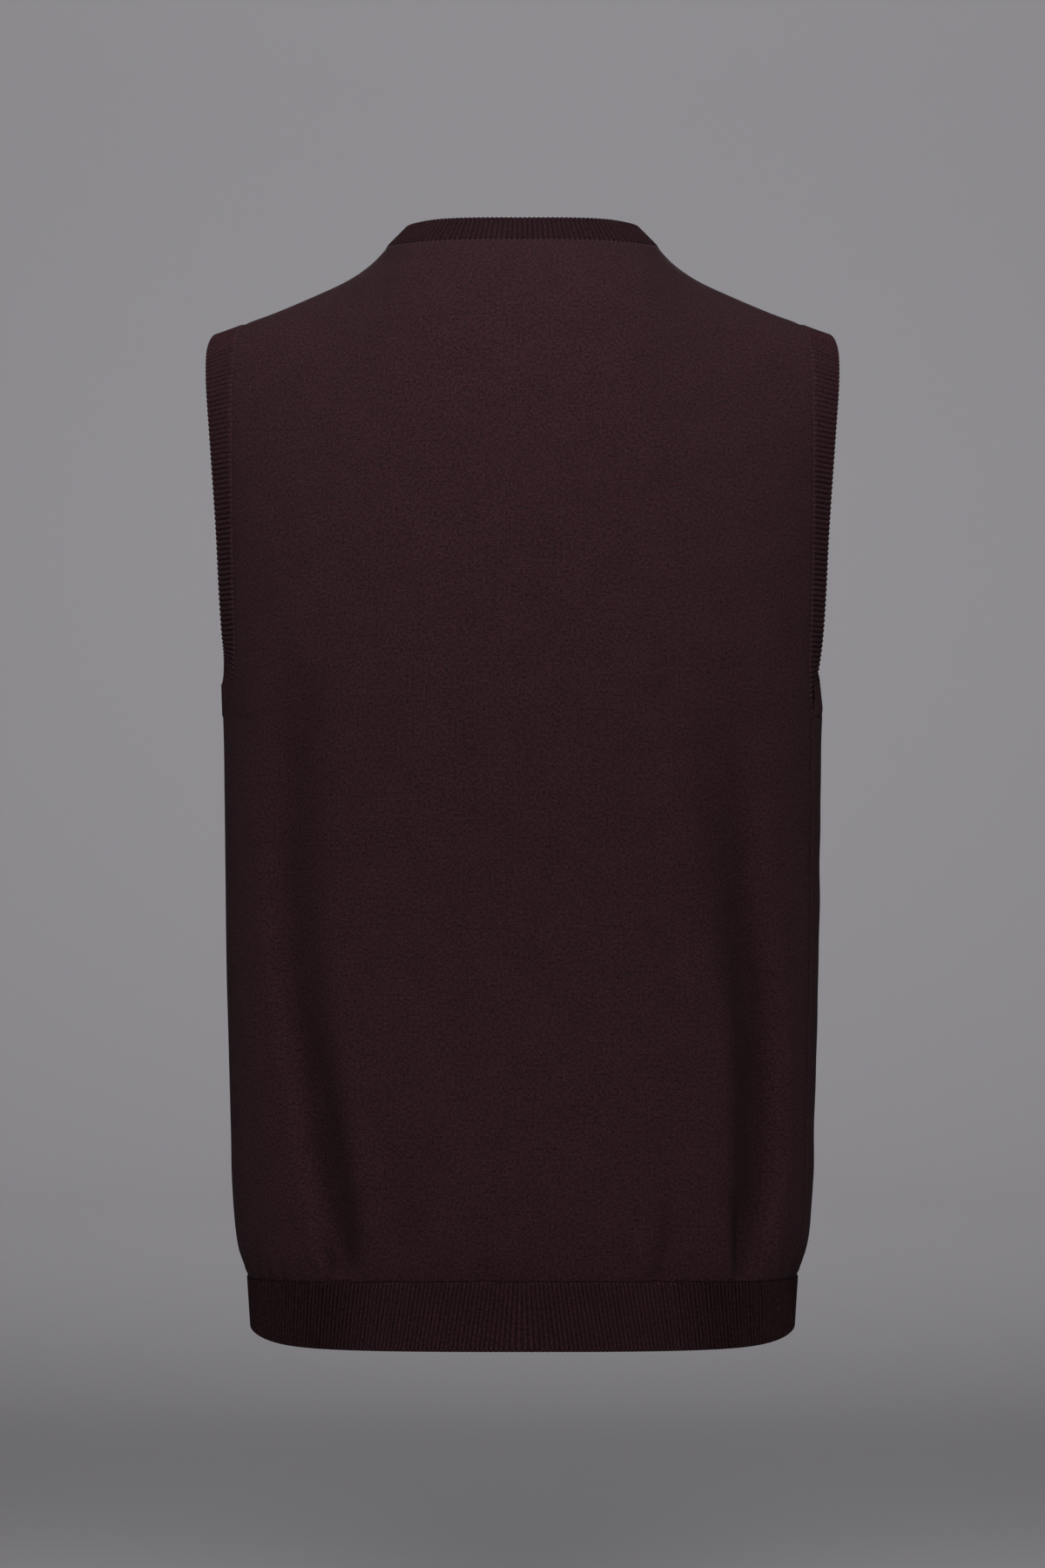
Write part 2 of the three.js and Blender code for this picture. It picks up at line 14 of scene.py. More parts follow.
import bpy
import numpy as np
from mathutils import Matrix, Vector


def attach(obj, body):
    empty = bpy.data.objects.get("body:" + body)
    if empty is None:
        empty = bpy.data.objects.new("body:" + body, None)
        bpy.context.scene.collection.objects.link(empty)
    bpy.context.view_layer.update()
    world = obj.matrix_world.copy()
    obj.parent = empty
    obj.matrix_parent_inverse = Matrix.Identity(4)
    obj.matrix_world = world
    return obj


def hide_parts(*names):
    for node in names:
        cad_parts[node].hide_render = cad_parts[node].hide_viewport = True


MM = 0.001
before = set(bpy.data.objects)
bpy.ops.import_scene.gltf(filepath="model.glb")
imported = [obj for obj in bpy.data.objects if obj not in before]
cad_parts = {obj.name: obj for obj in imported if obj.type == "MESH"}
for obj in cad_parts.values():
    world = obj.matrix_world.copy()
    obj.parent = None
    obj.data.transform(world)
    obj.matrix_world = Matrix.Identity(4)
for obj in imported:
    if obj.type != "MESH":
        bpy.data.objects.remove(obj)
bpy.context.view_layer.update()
print("CAD nodes:", ", ".join(sorted(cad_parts)))

# %% [markdown]
# ## Camera
# The picture is taken level with the middle of the vest, from behind and from about
# 2.7 m. The lens follows from one measure: how many millimetres of the vest a pixel of
# the picture covers at the depth of the side seams.

# %% Place the camera
IMAGE_HEIGHT_PIXELS = 1800
MM_PER_PIXEL = 0.529
CAMERA_DISTANCE = 2.7
CAMERA_HEIGHT = -0.325
SENSOR_HEIGHT_MM = 36

camera_data = bpy.data.cameras.new("camera")
camera_data.sensor_fit = "VERTICAL"
camera_data.sensor_height = SENSOR_HEIGHT_MM
view_height = IMAGE_HEIGHT_PIXELS * MM_PER_PIXEL * MM
camera_data.lens = SENSOR_HEIGHT_MM * CAMERA_DISTANCE / view_height
camera = bpy.data.objects.new("camera", camera_data)
camera.location = (0, -CAMERA_DISTANCE, CAMERA_HEIGHT)
camera.rotation_euler = (math.pi / 2, 0, 0)
bpy.context.collection.objects.link(camera)
bpy.context.scene.camera = camera
print(f"lens {camera_data.lens:.1f} mm, {view_height:.3f} m of the vest's plane in view")

# %% [markdown]
# ## Sizes of the vest
# A maker's pattern is a short table of measures with smooth lines drawn between them, and
# so is this one. All of them are in millimetres. The origin lies midway between the two
# neck points, +X is the wearer's right, +Y the front and +Z up.


# %% Tables of measures
def table(columns, rows):
    """Named columns of measures. The first column is the place, in rising order."""
    values = np.array(rows, float)
    return {name: values[:, i] for i, name in enumerate(columns)}


def smooth(rows, place, name):
    """Smooth value of one column at places along the first column."""
    keys, values = next(iter(rows.values())), rows[name]
    place = np.asarray(place, float)
    last = len(keys) - 1
    high = np.clip(np.searchsorted(keys, place), 1, last)
    low = high - 1
    before, after = np.maximum(low - 1, 0), np.minimum(high + 1, last)
    span = keys[high] - keys[low]
    t = np.clip((place - keys[low]) / span, 0, 1)
    slope_low = span * (values[high] - values[before]) / (keys[high] - keys[before])
    slope_high = span * (values[after] - values[low]) / (keys[after] - keys[low])
    return (
        (2 * t**3 - 3 * t**2 + 1) * values[low]
        + (t**3 - 2 * t**2 + t) * slope_low
        + (3 * t**2 - 2 * t**3) * values[high]
        + (t**3 - t**2) * slope_high
    )


def unit(vectors):
    return vectors / np.maximum(np.linalg.norm(vectors, axis=-1, keepdims=True), 1e-9)


def ease(value):
    """A smooth step from 0 to 1."""
    value = np.clip(value, 0, 1)
    return value * value * (3 - 2 * value)


print(f"a quarter of the way, a smooth step has risen {ease(0.25):.3f}")

# %% [markdown]
# The measures follow from the outline where it can be seen, and from a wearer's body where
# it can't: the depth of the trunk and all of the front. The heights come first, then the
# trunk, the shoulder line, the neck seam and the armhole seam.

# %% The vest's own measures
UNDERARM_Z = -285
HEM_SEAM_SIDE_Z = -621
HEM_SEAM_CENTRE_Z = -616
HEM_Z = -657
HEM_LIFT = 6
HEM_LIFT_FADE = 8

# Half width of the trunk, depth of its back and front from the side line, and the power
# of its cross section: 2 is an ellipse, and more has flatter sides
BODY = table(["z", "half_width", "back", "front", "power"], [
    [-657, 163.6, 102, 101, 3.15],
    [-640, 164.4, 101, 100, 3.0],
    [-621, 165.9, 101, 100, 2.8],
    [-614, 168.3, 104, 103, 2.75],
    [-604, 171.8, 107, 106, 2.7],
    [-590, 174.1, 109, 108, 2.65],
    [-563, 176.0, 110, 110, 2.6],
    [-537, 176.6, 109, 112, 2.55],
    [-484, 178.1, 107, 114, 2.5],
    [-431, 179.5, 107, 115, 2.45],
    [-378, 180.1, 110, 115, 2.4],
    [-325, 180.6, 115, 114, 2.37],
    [-285, 180.9, 118, 113, 2.35],
])

# The shoulder line, from the neck point out past its tip to the side line
SHOULDER = table(["share", "x", "z"], [
    [0, 83, 0],
    [0.08, 91, -8.5],
    [0.21, 105, -18.5],
    [0.41, 127, -29],
    [0.62, 150, -39],
    [0.8, 168, -46],
    [1, 190, -57],
])
SHOULDER_LEAN = (78, 86)
SHOULDER_REACH = (80, 58)

# The neck seam from the middle to the neck point: the cloth's tilt there, how far below
# the seam it is felt, and which way the neckband's width points
NECK_COLUMNS = ["share", "x", "y", "z", "lean", "reach", "toward_x", "toward_y", "toward_z"]
NECK_BACK = table(NECK_COLUMNS, [
    [0.0, 0, -62, -1.0, 50, 50, 0.0, 0.64, 0.77],
    [0.3, 30, -58.5, -0.7, 51, 50, -0.2, 0.6, 0.77],
    [0.58, 56, -48, -0.6, 56, 52, -0.42, 0.47, 0.78],
    [0.8, 73, -32, -0.6, 64, 58, -0.6, 0.28, 0.75],
    [0.93, 81, -14, 0.1, 74, 66, -0.69, 0.13, 0.71],
    [1.0, 83, 0, 0.0, 78, 80, -0.7, 0.0, 0.71],
])
NECK_FRONT = table(NECK_COLUMNS, [
    [0.0, 0, 110, -212, 5, 20, -0.93, -0.06, 0.36],
    [0.22, 20.5, 106, -156, 6, 35, -0.93, -0.06, 0.36],
    [0.42, 39, 97, -102, 13, 46, -0.92, -0.14, 0.37],
    [0.6, 55, 79, -50, 24, 54, -0.88, -0.26, 0.4],
    [0.76, 68, 54, -17, 43, 60, -0.8, -0.24, 0.55],
    [0.9, 78, 26, -3, 64, 70, -0.72, -0.12, 0.68],
    [1.0, 83, 0, 0, 78, 80, -0.7, 0.0, 0.71],
])

# The armhole seam's distance from the side line along the cloth, and how much of the
# band's width points straight out to the side
ARMHOLE = table(["rise", "back", "front", "flare_back", "flare_front"], [
    [0, 50, 48, 0.04, -0.12],
    [0.034, 50, 48, 0.17, -0.1],
    [0.058, 50, 48, 0.26, -0.04],
    [0.088, 49.5, 47.5, 0.34, 0.08],
    [0.125, 48.5, 46.5, 0.4, 0.2],
    [0.2, 46.5, 44.5, 0.45, 0.38],
    [0.3, 44, 42, 0.5, 0.48],
    [0.5, 38.5, 37, 0.66, 0.64],
    [0.65, 34.5, 33.5, 0.78, 0.76],
    [0.8, 31, 30.5, 0.86, 0.85],
    [0.9, 29, 29, 0.9, 0.9],
    [1, 27.5, 27.5, 0.95, 0.95],
])
ARMHOLE_ROUNDING = 0.125
SIDE_SEAM_Y_RIGHT = -42
SIDE_SEAM_Y_LEFT = -10
NECK_POINT = 0.44
SHOULDER_TIP = 0.888
NECKBAND_WIDTH = 18
ARMHOLE_BAND_WIDTH = 20.5

print(f"body {2 * BODY['half_width'].max():.0f} mm wide, hem at {HEM_Z} mm")

# %% [markdown]
# ## The form of the trunk
# A filled-out vest is a tube below the arms and a yoke above them. The tube is easy: one
# rounded oval for each height. The yoke could be sculpted, but a set of curves is easier
# to keep true: from each place round the underarm a Bezier column climbs to the shoulder
# line or the neck seam. The armholes are then cut out of that smooth form.


# %% The tube and its girth
def trunk(z, turn):
    """A point of the tube. Turn 0 is the right side line, and a quarter turn the back."""
    z, turn = np.broadcast_arrays(np.asarray(z, float), np.asarray(turn, float))
    across, deep = np.cos(turn), np.sin(turn)
    exponent = 2 / smooth(BODY, z, "power")
    depth = np.where(deep >= 0, smooth(BODY, z, "back"), smooth(BODY, z, "front"))
    x = np.sign(across) * np.abs(across) ** exponent * smooth(BODY, z, "half_width")
    y = -np.sign(deep) * np.abs(deep) ** exponent * depth
    return np.stack([x, y, z], axis=-1)


GIRTH_TURNS = np.linspace(-1.2 * math.pi, 1.2 * math.pi, 4801)
steps = np.linalg.norm(np.diff(trunk(UNDERARM_Z, GIRTH_TURNS), axis=0), axis=1)
GIRTH_LENGTHS = np.concatenate([[0], np.cumsum(steps)])
GIRTH_LENGTHS -= np.interp(0, GIRTH_TURNS, GIRTH_LENGTHS)


def girth_at(turn):
    return np.interp(turn, GIRTH_TURNS, GIRTH_LENGTHS)


def turn_at(length):
    return np.interp(length, GIRTH_LENGTHS, GIRTH_TURNS)


def girth_at_depth(y):
    """Girth of the place near the right side line that lies at a depth y."""
    share = -y / smooth(BODY, UNDERARM_Z, "back")
    return girth_at(math.asin(share ** (smooth(BODY, UNDERARM_Z, "power") / 2)))


BACK_GIRTH = girth_at(math.pi)
FRONT_GIRTH = -girth_at(-math.pi)
print(f"chest {BACK_GIRTH + FRONT_GIRTH:.0f} mm round")


# %% [markdown]
# The yoke is the vest above the underarm. It leans over the shoulders, so its depth
# shrinks on the way up while its width barely does. Each column has four Bezier points:
# the underarm, a point that keeps it upright, one that tilts it over, and its end on the
# shoulder line or the neck seam. The two middle points also fill out the blades, the
# chest and the sides.

# %% The yoke
COLUMN_UPRIGHT = 0.55
BLADE_BULGE = 8
CHEST_BULGE = 2
SIDE_FULLNESS_LOW = 10
SIDE_FULLNESS_HIGH = 28


def half_of(length):
    """Whether places on the girth are in its back half, and how far right of its middle."""
    past_left, before_left = length > BACK_GIRTH, length < -FRONT_GIRTH
    is_back = np.where(past_left, False, np.where(before_left, True, length >= 0))
    right = np.select(
        [past_left, before_left, is_back],
        [
            length - BACK_GIRTH - FRONT_GIRTH / 2,
            -FRONT_GIRTH - length - BACK_GIRTH / 2,
            BACK_GIRTH / 2 - length,
        ],
        length + FRONT_GIRTH / 2,
    )
    return is_back, right


def top_edge(length):
    """The neck seam or shoulder line above places on the girth, and the tilt there."""
    is_back, right = half_of(length)
    hand = np.where(right >= 0, 1, -1)
    out = np.minimum(np.abs(right) / np.where(is_back, BACK_GIRTH / 2, FRONT_GIRTH / 2), 1)
    shoulder = np.clip((out - NECK_POINT) / (1 - NECK_POINT), 0, 1)
    neck = np.clip(out / NECK_POINT, 0, 1)

    def pick(name, on_shoulder):
        on_neck = np.where(is_back, smooth(NECK_BACK, neck, name), smooth(NECK_FRONT, neck, name))
        return np.where(out >= NECK_POINT, on_shoulder, on_neck)

    point = np.stack([
        hand * pick("x", smooth(SHOULDER, shoulder, "x")),
        pick("y", 0 * out),
        pick("z", smooth(SHOULDER, shoulder, "z")),
    ], axis=-1)
    lean = pick("lean", SHOULDER_LEAN[0] + (SHOULDER_LEAN[1] - SHOULDER_LEAN[0]) * shoulder)
    reach = pick("reach", SHOULDER_REACH[0] + (SHOULDER_REACH[1] - SHOULDER_REACH[0]) * shoulder)
    return point, hand, out, np.where(is_back, 1, -1), np.radians(lean), reach


def column_ends(length):
    """The four Bezier points of the columns above places on the girth."""
    start = trunk(UNDERARM_Z, turn_at(length))
    top, hand, out, backward, tilt, reach = top_edge(length)
    low = start.copy()
    low[..., 0] += hand * SIDE_FULLNESS_LOW * out**4
    low[..., 1] -= backward * np.where(backward > 0, BLADE_BULGE, CHEST_BULGE) * (1 - out**2)
    low[..., 2] += COLUMN_UPRIGHT * (top[..., 2] - start[..., 2])
    high = top.copy()
    high[..., 0] += hand * SIDE_FULLNESS_HIGH * out**4
    high[..., 1] -= backward * reach * np.sin(tilt)
    high[..., 2] -= reach * np.cos(tilt)
    return start, low, high, top


def yoke(length, rise):
    """Points above the underarm: rise 0 is the underarm and 1 the top edge."""
    length, rise = np.broadcast_arrays(np.asarray(length, float), np.asarray(rise, float))
    start, low, high, top = column_ends(length)
    t = rise[..., None]
    return (
        (1 - t) ** 3 * start
        + 3 * t * (1 - t) ** 2 * low
        + 3 * t**2 * (1 - t) * high
        + t**3 * top
    )


# %% [markdown]
# ## Folds
# Knitting this fine hardly creases. Filled out, it shows long soft troughs that run down
# from the waist to the hem, a few short creases just above the hem, where the rib pulls
# the body in, and a slight unevenness all over. A cloth simulation would put them
# anywhere, so each one is given here: the line it follows down the cloth, how
# wide it is and how deep. The front can't be seen in the picture and has similar ones.

# %% Troughs and creases
FOLD_COLUMNS = ["z", "x", "reach", "depth"]
BACK_TROUGHS = [
    table(FOLD_COLUMNS, [
        [-617, -106, 15, 0],
        [-602, -108, 16, 6.0],
        [-575, -114, 18, 9.6],
        [-546, -120, 20, 10.0],
        [-507, -126, 21, 8.6],
        [-440, -136, 22, 5.6],
        [-376, -139, 23, 4.6],
        [-300, -137, 24, 3.2],
        [-244, -134, 25, 0],
    ]),
    table(FOLD_COLUMNS, [
        [-618, 136, 16, 0],
        [-603, 137, 17, 6.4],
        [-580, 140, 19, 10.6],
        [-559, 143, 20, 11.4],
        [-507, 144, 21, 10.8],
        [-455, 141, 22, 9.0],
        [-390, 131, 24, 6.2],
        [-320, 126, 25, 2.6],
        [-250, 123, 25, 0],
    ]),
    table(FOLD_COLUMNS, [
        [-612, -72, 16, 0],
        [-580, -74, 18, 1.6],
        [-540, -80, 20, 1.2],
        [-500, -84, 20, 0],
    ]),
]
BACK_CREASES = [
    table(FOLD_COLUMNS, [
        [-618, 130, 8, 1.0],
        [-607, 130.5, 8, 3.4],
        [-590, 131.5, 8, 2.6],
        [-568, 132, 9, 0],
    ]),
    table(FOLD_COLUMNS, [
        [-618, 79.5, 8, 0.8],
        [-608, 80.5, 8, 2.0],
        [-588, 84, 9, 1.6],
        [-556, 87, 9, 0],
    ]),
    table(FOLD_COLUMNS, [
        [-618, -113, 8, 1.0],
        [-608, -113.5, 8, 3.0],
        [-598, -117, 8, 2.0],
        [-584, -120, 8, 0],
    ]),
    table(FOLD_COLUMNS, [
        [-618, -104, 7, 0.8],
        [-606, -104, 7, 2.0],
        [-586, -107, 8, 0],
    ]),
    table(FOLD_COLUMNS, [
        [-618, -22.5, 9, 0.4],
        [-606, -22.5, 9, 1.1],
        [-588, -23, 9, 0],
    ]),
]
FRONT_TROUGHS = [
    table(FOLD_COLUMNS, [
        [-608, -116, 25, 0],
        [-590, -117, 26, 3.2],
        [-535, -122, 28, 4.2],
        [-470, -126, 30, 2.8],
        [-400, -122, 32, 1.4],
        [-330, -118, 32, 0],
    ]),
    table(FOLD_COLUMNS, [
        [-606, 98, 25, 0],
        [-588, 100, 26, 2.6],
        [-520, 108, 29, 3.4],
        [-450, 118, 31, 2.4],
        [-370, 122, 33, 1.2],
        [-290, 120, 33, 0],
    ]),
]
FRONT_CREASES = [
    table(FOLD_COLUMNS, [
        [-616, -117, 8, 0],
        [-607, -117, 8, 1.3],
        [-592, -119, 9, 1.0],
        [-576, -120, 9, 0],
    ]),
    table(FOLD_COLUMNS, [
        [-616, 62, 8, 0],
        [-607, 62.5, 8, 1.1],
        [-585, 66, 9, 0.8],
        [-566, 68, 9, 0],
    ]),
]
print(len(BACK_TROUGHS + BACK_CREASES), "folds on the back,",
      len(FRONT_TROUGHS + FRONT_CREASES), "on the front")

# %% [markdown]
# A trough has the round bottom of cloth that hangs loose. A crease is a sharper valley,
# and pushes up a low swell on each side. Every fold is a little steeper on the side that
# faces the side seam.

# %% How folds press into the cloth
STEEPER_TOWARD_SIDE = 0.22
CREASE_SHARPNESS = 2.4
SWELL_SHARPNESS = 2.2
SWELL_HEIGHT = 0.3
# The slow waves: their lengths across and up the cloth in millimetres, and their start
WAVES = [(41, 97, 0.3), (67, -53, 1.7), (-29, 71, 2.9), (113, 39, 4.1)]


def fold_depth(points, folds, profile):
    """How deep the folds press into the cloth at points."""
    depth = np.zeros(points.shape[:-1])
    for fold in folds:
        x, z = points[..., 0], points[..., 2]
        middle = smooth(fold, z, "x")
        off = (x - middle) / smooth(fold, z, "reach")
        off = off * (1 + STEEPER_TOWARD_SIDE * np.sign(off * middle))
        inside = (z > fold["z"][0]) & (z < fold["z"][-1])
        depth += np.where(inside, np.maximum(smooth(fold, z, "depth"), 0) * profile(off), 0)
    return depth


def trough(off):
    return np.cos(np.clip(off, -1, 1) * math.pi / 2) ** 2


def crease(off):
    """A narrow valley with a low swell on each side."""
    swell = np.exp(-((SWELL_SHARPNESS * (np.abs(off) - 1)) ** 2))
    return np.exp(-((CREASE_SHARPNESS * off) ** 2)) - SWELL_HEIGHT * swell


def unevenness(u, v):
    """Slow waves of the cloth, 1 at most, over a place in millimetres."""
    return sum(np.sin(2 * math.pi * (u / a + v / b) + c) for a, b, c in WAVES) / len(WAVES)


print(f"a crease is {crease(0):.2f} deep in its middle and swells {-crease(1):.2f} beside it")

# %% [markdown]
# ## The two body panels
# Each panel is a grid of cloth: rows run round the body like the knitted courses, and
# columns run up it like the wales. The grid's edges are the seams. The cloth dips a
# little along each seam and is gathered slightly where the hem rib holds it in.

# %% Lay out a panel
SHOULDER_COLUMNS = 48
NECK_COLUMNS_EACH_SIDE = 52
BLOUSE_ROWS = 18
BLOUSE_SHARE = 0.07
TUBE_ROWS = 108
ARMHOLE_ROUND_ROWS = 18
YOKE_ROWS = 78
EVENLY_DRAWN_RISE = 0.8


def panel_shares():
    neck = (1 - NECK_POINT / SHOULDER_TIP) / 2
    right = np.concatenate([
        np.linspace(0, neck, SHOULDER_COLUMNS, endpoint=False),
        np.linspace(neck, 0.5, NECK_COLUMNS_EACH_SIDE, endpoint=False),
    ])
    return np.concatenate([right, [0.5], 1 - right[::-1]])


def panel_rises():
    corner = np.linspace(0, math.pi / 2, ARMHOLE_ROUND_ROWS + 1)
    return np.concatenate([
        np.linspace(-1, BLOUSE_SHARE - 1, BLOUSE_ROWS, endpoint=False),
        np.linspace(BLOUSE_SHARE - 1, 0, TUBE_ROWS, endpoint=False),
        ARMHOLE_ROUNDING * (1 - np.cos(corner)),
        np.linspace(ARMHOLE_ROUNDING, 1, YOKE_ROWS + 1)[1:],
    ])


def edge_girths(side, rise):
    """Girth of a panel's right and left edges: the side seams, or the armholes."""
    direction = 1 if side == "back" else -1
    level = np.maximum(rise, 0)
    inset = smooth(ARMHOLE, level, side)
    spread = np.sqrt(1 - (1 - np.minimum(level / ARMHOLE_ROUNDING, 1)) ** 2)
    half = BACK_GIRTH if side == "back" else FRONT_GIRTH
    seam_right = girth_at_depth(SIDE_SEAM_Y_RIGHT)
    seam_left = direction * (half - direction * girth_at_depth(SIDE_SEAM_Y_LEFT))
    right = seam_right + (direction * inset - seam_right) * spread
    left = seam_left + (direction * (half - inset) - seam_left) * spread
    return right, left


def column_girths(side, share, rise):
    """Girth of a panel's columns: straight at first, then drawn evenly to the top edge."""
    right, left = edge_girths(side, rise)
    right_low, left_low = edge_girths(side, 0 * rise)
    even_spread = right + (left - right) * share
    edge_spread = (
        right_low + (left_low - right_low) * share
        + (right - right_low) * np.maximum(1 - 2 * share, 0) ** 2
        + (left - left_low) * np.maximum(2 * share - 1, 0) ** 2
    )
    drawn = ease(rise / EVENLY_DRAWN_RISE)
    return edge_spread + (even_spread - edge_spread) * drawn


print(len(panel_shares()), "columns and", len(panel_rises()), "rows to a panel")

# %% [markdown]
# The tube and the yoke are joined into one smooth form here. Where they meet the cloth
# would show a line across the back, so the slight angle between them is rounded off, and
# so is the corner of the neck and the shoulder, which otherwise runs down as a ridge.

# %% The panel's smooth form
UNDERARM_SOFTNESS = 22
SLOPE_STEP = 4
CORNER_SMOOTHINGS = 60
CORNER_FADE = 0.15


def hem_seam_z(turn):
    return HEM_SEAM_SIDE_Z + (HEM_SEAM_CENTRE_Z - HEM_SEAM_SIDE_Z) * np.sin(turn) ** 2


def smooth_form(side, share, rise):
    """The panel before folds: points for shares across it and rises up it."""
    length = column_girths(side, share, rise)
    turn = turn_at(length)
    z = UNDERARM_Z + (hem_seam_z(turn) - UNDERARM_Z) * np.clip(-rise, 0, 1)
    low, high = trunk(z, turn), yoke(length, np.maximum(rise, 0))
    points = np.where((rise > 0)[..., None], high, low)

    # The tube and the yoke meet at a slight angle, which cloth rounds off
    start, above, _, _ = column_ends(length)
    below = trunk(UNDERARM_Z - SLOPE_STEP, turn)
    kink = (above - start) / (above - start)[..., 2:] - (start - below) / SLOPE_STEP
    off = np.abs(points[..., 2:] - UNDERARM_Z)
    points = points + kink / 2 * (np.sqrt(off**2 + UNDERARM_SOFTNESS**2) - off)

    # The corner where neck and shoulder meet fades out below the seam
    strength = ease((1 - rise) / CORNER_FADE) * ease(rise / CORNER_FADE)
    strength = strength[:, 1:-1, None]
    for _ in range(CORNER_SMOOTHINGS):
        beside = (points[:, :-2] + points[:, 2:]) / 2
        points[:, 1:-1] += strength * (beside - points[:, 1:-1]) / 2
    return points


def grid_normals(points, direction):
    across = np.gradient(points, axis=1)
    up = np.gradient(points, axis=0)
    return unit(np.cross(up, across)) * direction


def run_lengths(points, axis):
    """Distance along the rows or columns of a grid from its first point."""
    moved = np.moveaxis(points, axis, 0)
    distance = np.linalg.norm(np.diff(moved, axis=0), axis=-1)
    distance = np.concatenate([np.zeros((1,) + distance.shape[1:]), np.cumsum(distance, axis=0)])
    return np.moveaxis(distance, 0, axis)


print(f"the hem seam is at {HEM_SEAM_SIDE_Z} mm at the sides, {HEM_SEAM_CENTRE_Z} mm between")

# %% [markdown]
# The surface is the smooth form pushed in and out along its normals: folds, creases, the
# gathers above the hem, slow waves and a dip along each seam. A displacement modifier
# would need an image or a texture, and here every depth is known in millimetres. How deep
# a point lies in a fold is kept for the material, which paints shade there.

# %% Knit a panel's surface
WAVE_HEIGHT = 0.35
WAVE_FADE = 25
GATHER_PITCH = 12.5
GATHER_HEIGHT = 0.7
GATHER_REACH = 16
GATHER_START = 3
GATHER_DRIFT = 1.6
GATHER_DRIFT_LENGTH = 31
SEAM_DIP = 0.8
SEAM_DIP_REACH = 2.6
SIDE_SEAM_DIP = 1.1
SHADED_WALL = 4
DARK_TROUGH = 6.5
DARK_CREASE = 3.4


def knit_panel(side, troughs, creases):
    """Outer points, normals and knitting coordinates of a body panel."""
    direction = 1 if side == "back" else -1
    share, rise = np.meshgrid(panel_shares(), panel_rises())
    points = smooth_form(side, share, rise)
    normals = grid_normals(points, direction)
    row, column = run_lengths(points, 1), run_lengths(points, 0)
    from_side = np.minimum(row, row[:, -1:] - row)
    from_top = column[-1:] - column

    # Wales are counted from the middle of the back or front, at one pitch all over
    girth = column_girths(side, share, rise)
    middle = BACK_GIRTH / 2 if side == "back" else -FRONT_GIRTH / 2
    wale = row - np.array([
        [np.interp(middle * direction, line * direction, at)] for line, at in zip(girth, row)
    ])

    drift = GATHER_DRIFT * np.sin(wale / GATHER_DRIFT_LENGTH)
    gather = np.sin(2 * math.pi * wale / GATHER_PITCH + drift)
    gather = gather * np.exp(-((column / GATHER_REACH) ** 2)) * ease(column / GATHER_START)
    wave = unevenness(wale, column) * ease(from_side / WAVE_FADE) * ease(from_top / WAVE_FADE)
    side_dip = np.where(rise < 0, SIDE_SEAM_DIP, SEAM_DIP)
    height = (
        WAVE_HEIGHT * wave
        + GATHER_HEIGHT * gather
        - fold_depth(points, troughs, trough)
        - fold_depth(points, creases, crease)
        - side_dip * np.exp(-((from_side / SEAM_DIP_REACH) ** 2))
        - SEAM_DIP * np.exp(-((from_top / SEAM_DIP_REACH) ** 2))
    )

    # Painted shade in the folds: the wall of a trough toward the middle of the vest
    # is the one turned from the light
    wall_side = points + np.sign(points[..., :1]) * (SHADED_WALL, 0, 0)
    shade = fold_depth(wall_side, troughs, trough) / DARK_TROUGH
    shade = np.clip(shade + fold_depth(points, creases, crease) / DARK_CREASE, 0, 1)
    return {
        "points": points + normals * height[..., None],
        "shade": shade,
        "normals": normals,
        "seam": points,
        "wale": wale,
        "course": column,
        "share": share[0],
        "rise": rise[:, 0],
    }


back = knit_panel("back", BACK_TROUGHS, BACK_CREASES)
front = knit_panel("front", FRONT_TROUGHS, FRONT_CREASES)
print("panel grid", back["points"].shape[:2], "rows and columns")

# %% [markdown]
# ## Cloth as a closed wall
# Knitting has a thickness, and both of its sides show here. Each piece is therefore one
# closed wall: its outer grid, its inner grid, and the narrow rim that joins them. It also
# carries a UV map that measures the cloth in millimetres, across and along the stitches,
# so that the yarn in the material follows the knitting and not the world's axes.

# %% Make a wall from two grids
OUTSIDE, INSIDE = 0, 1


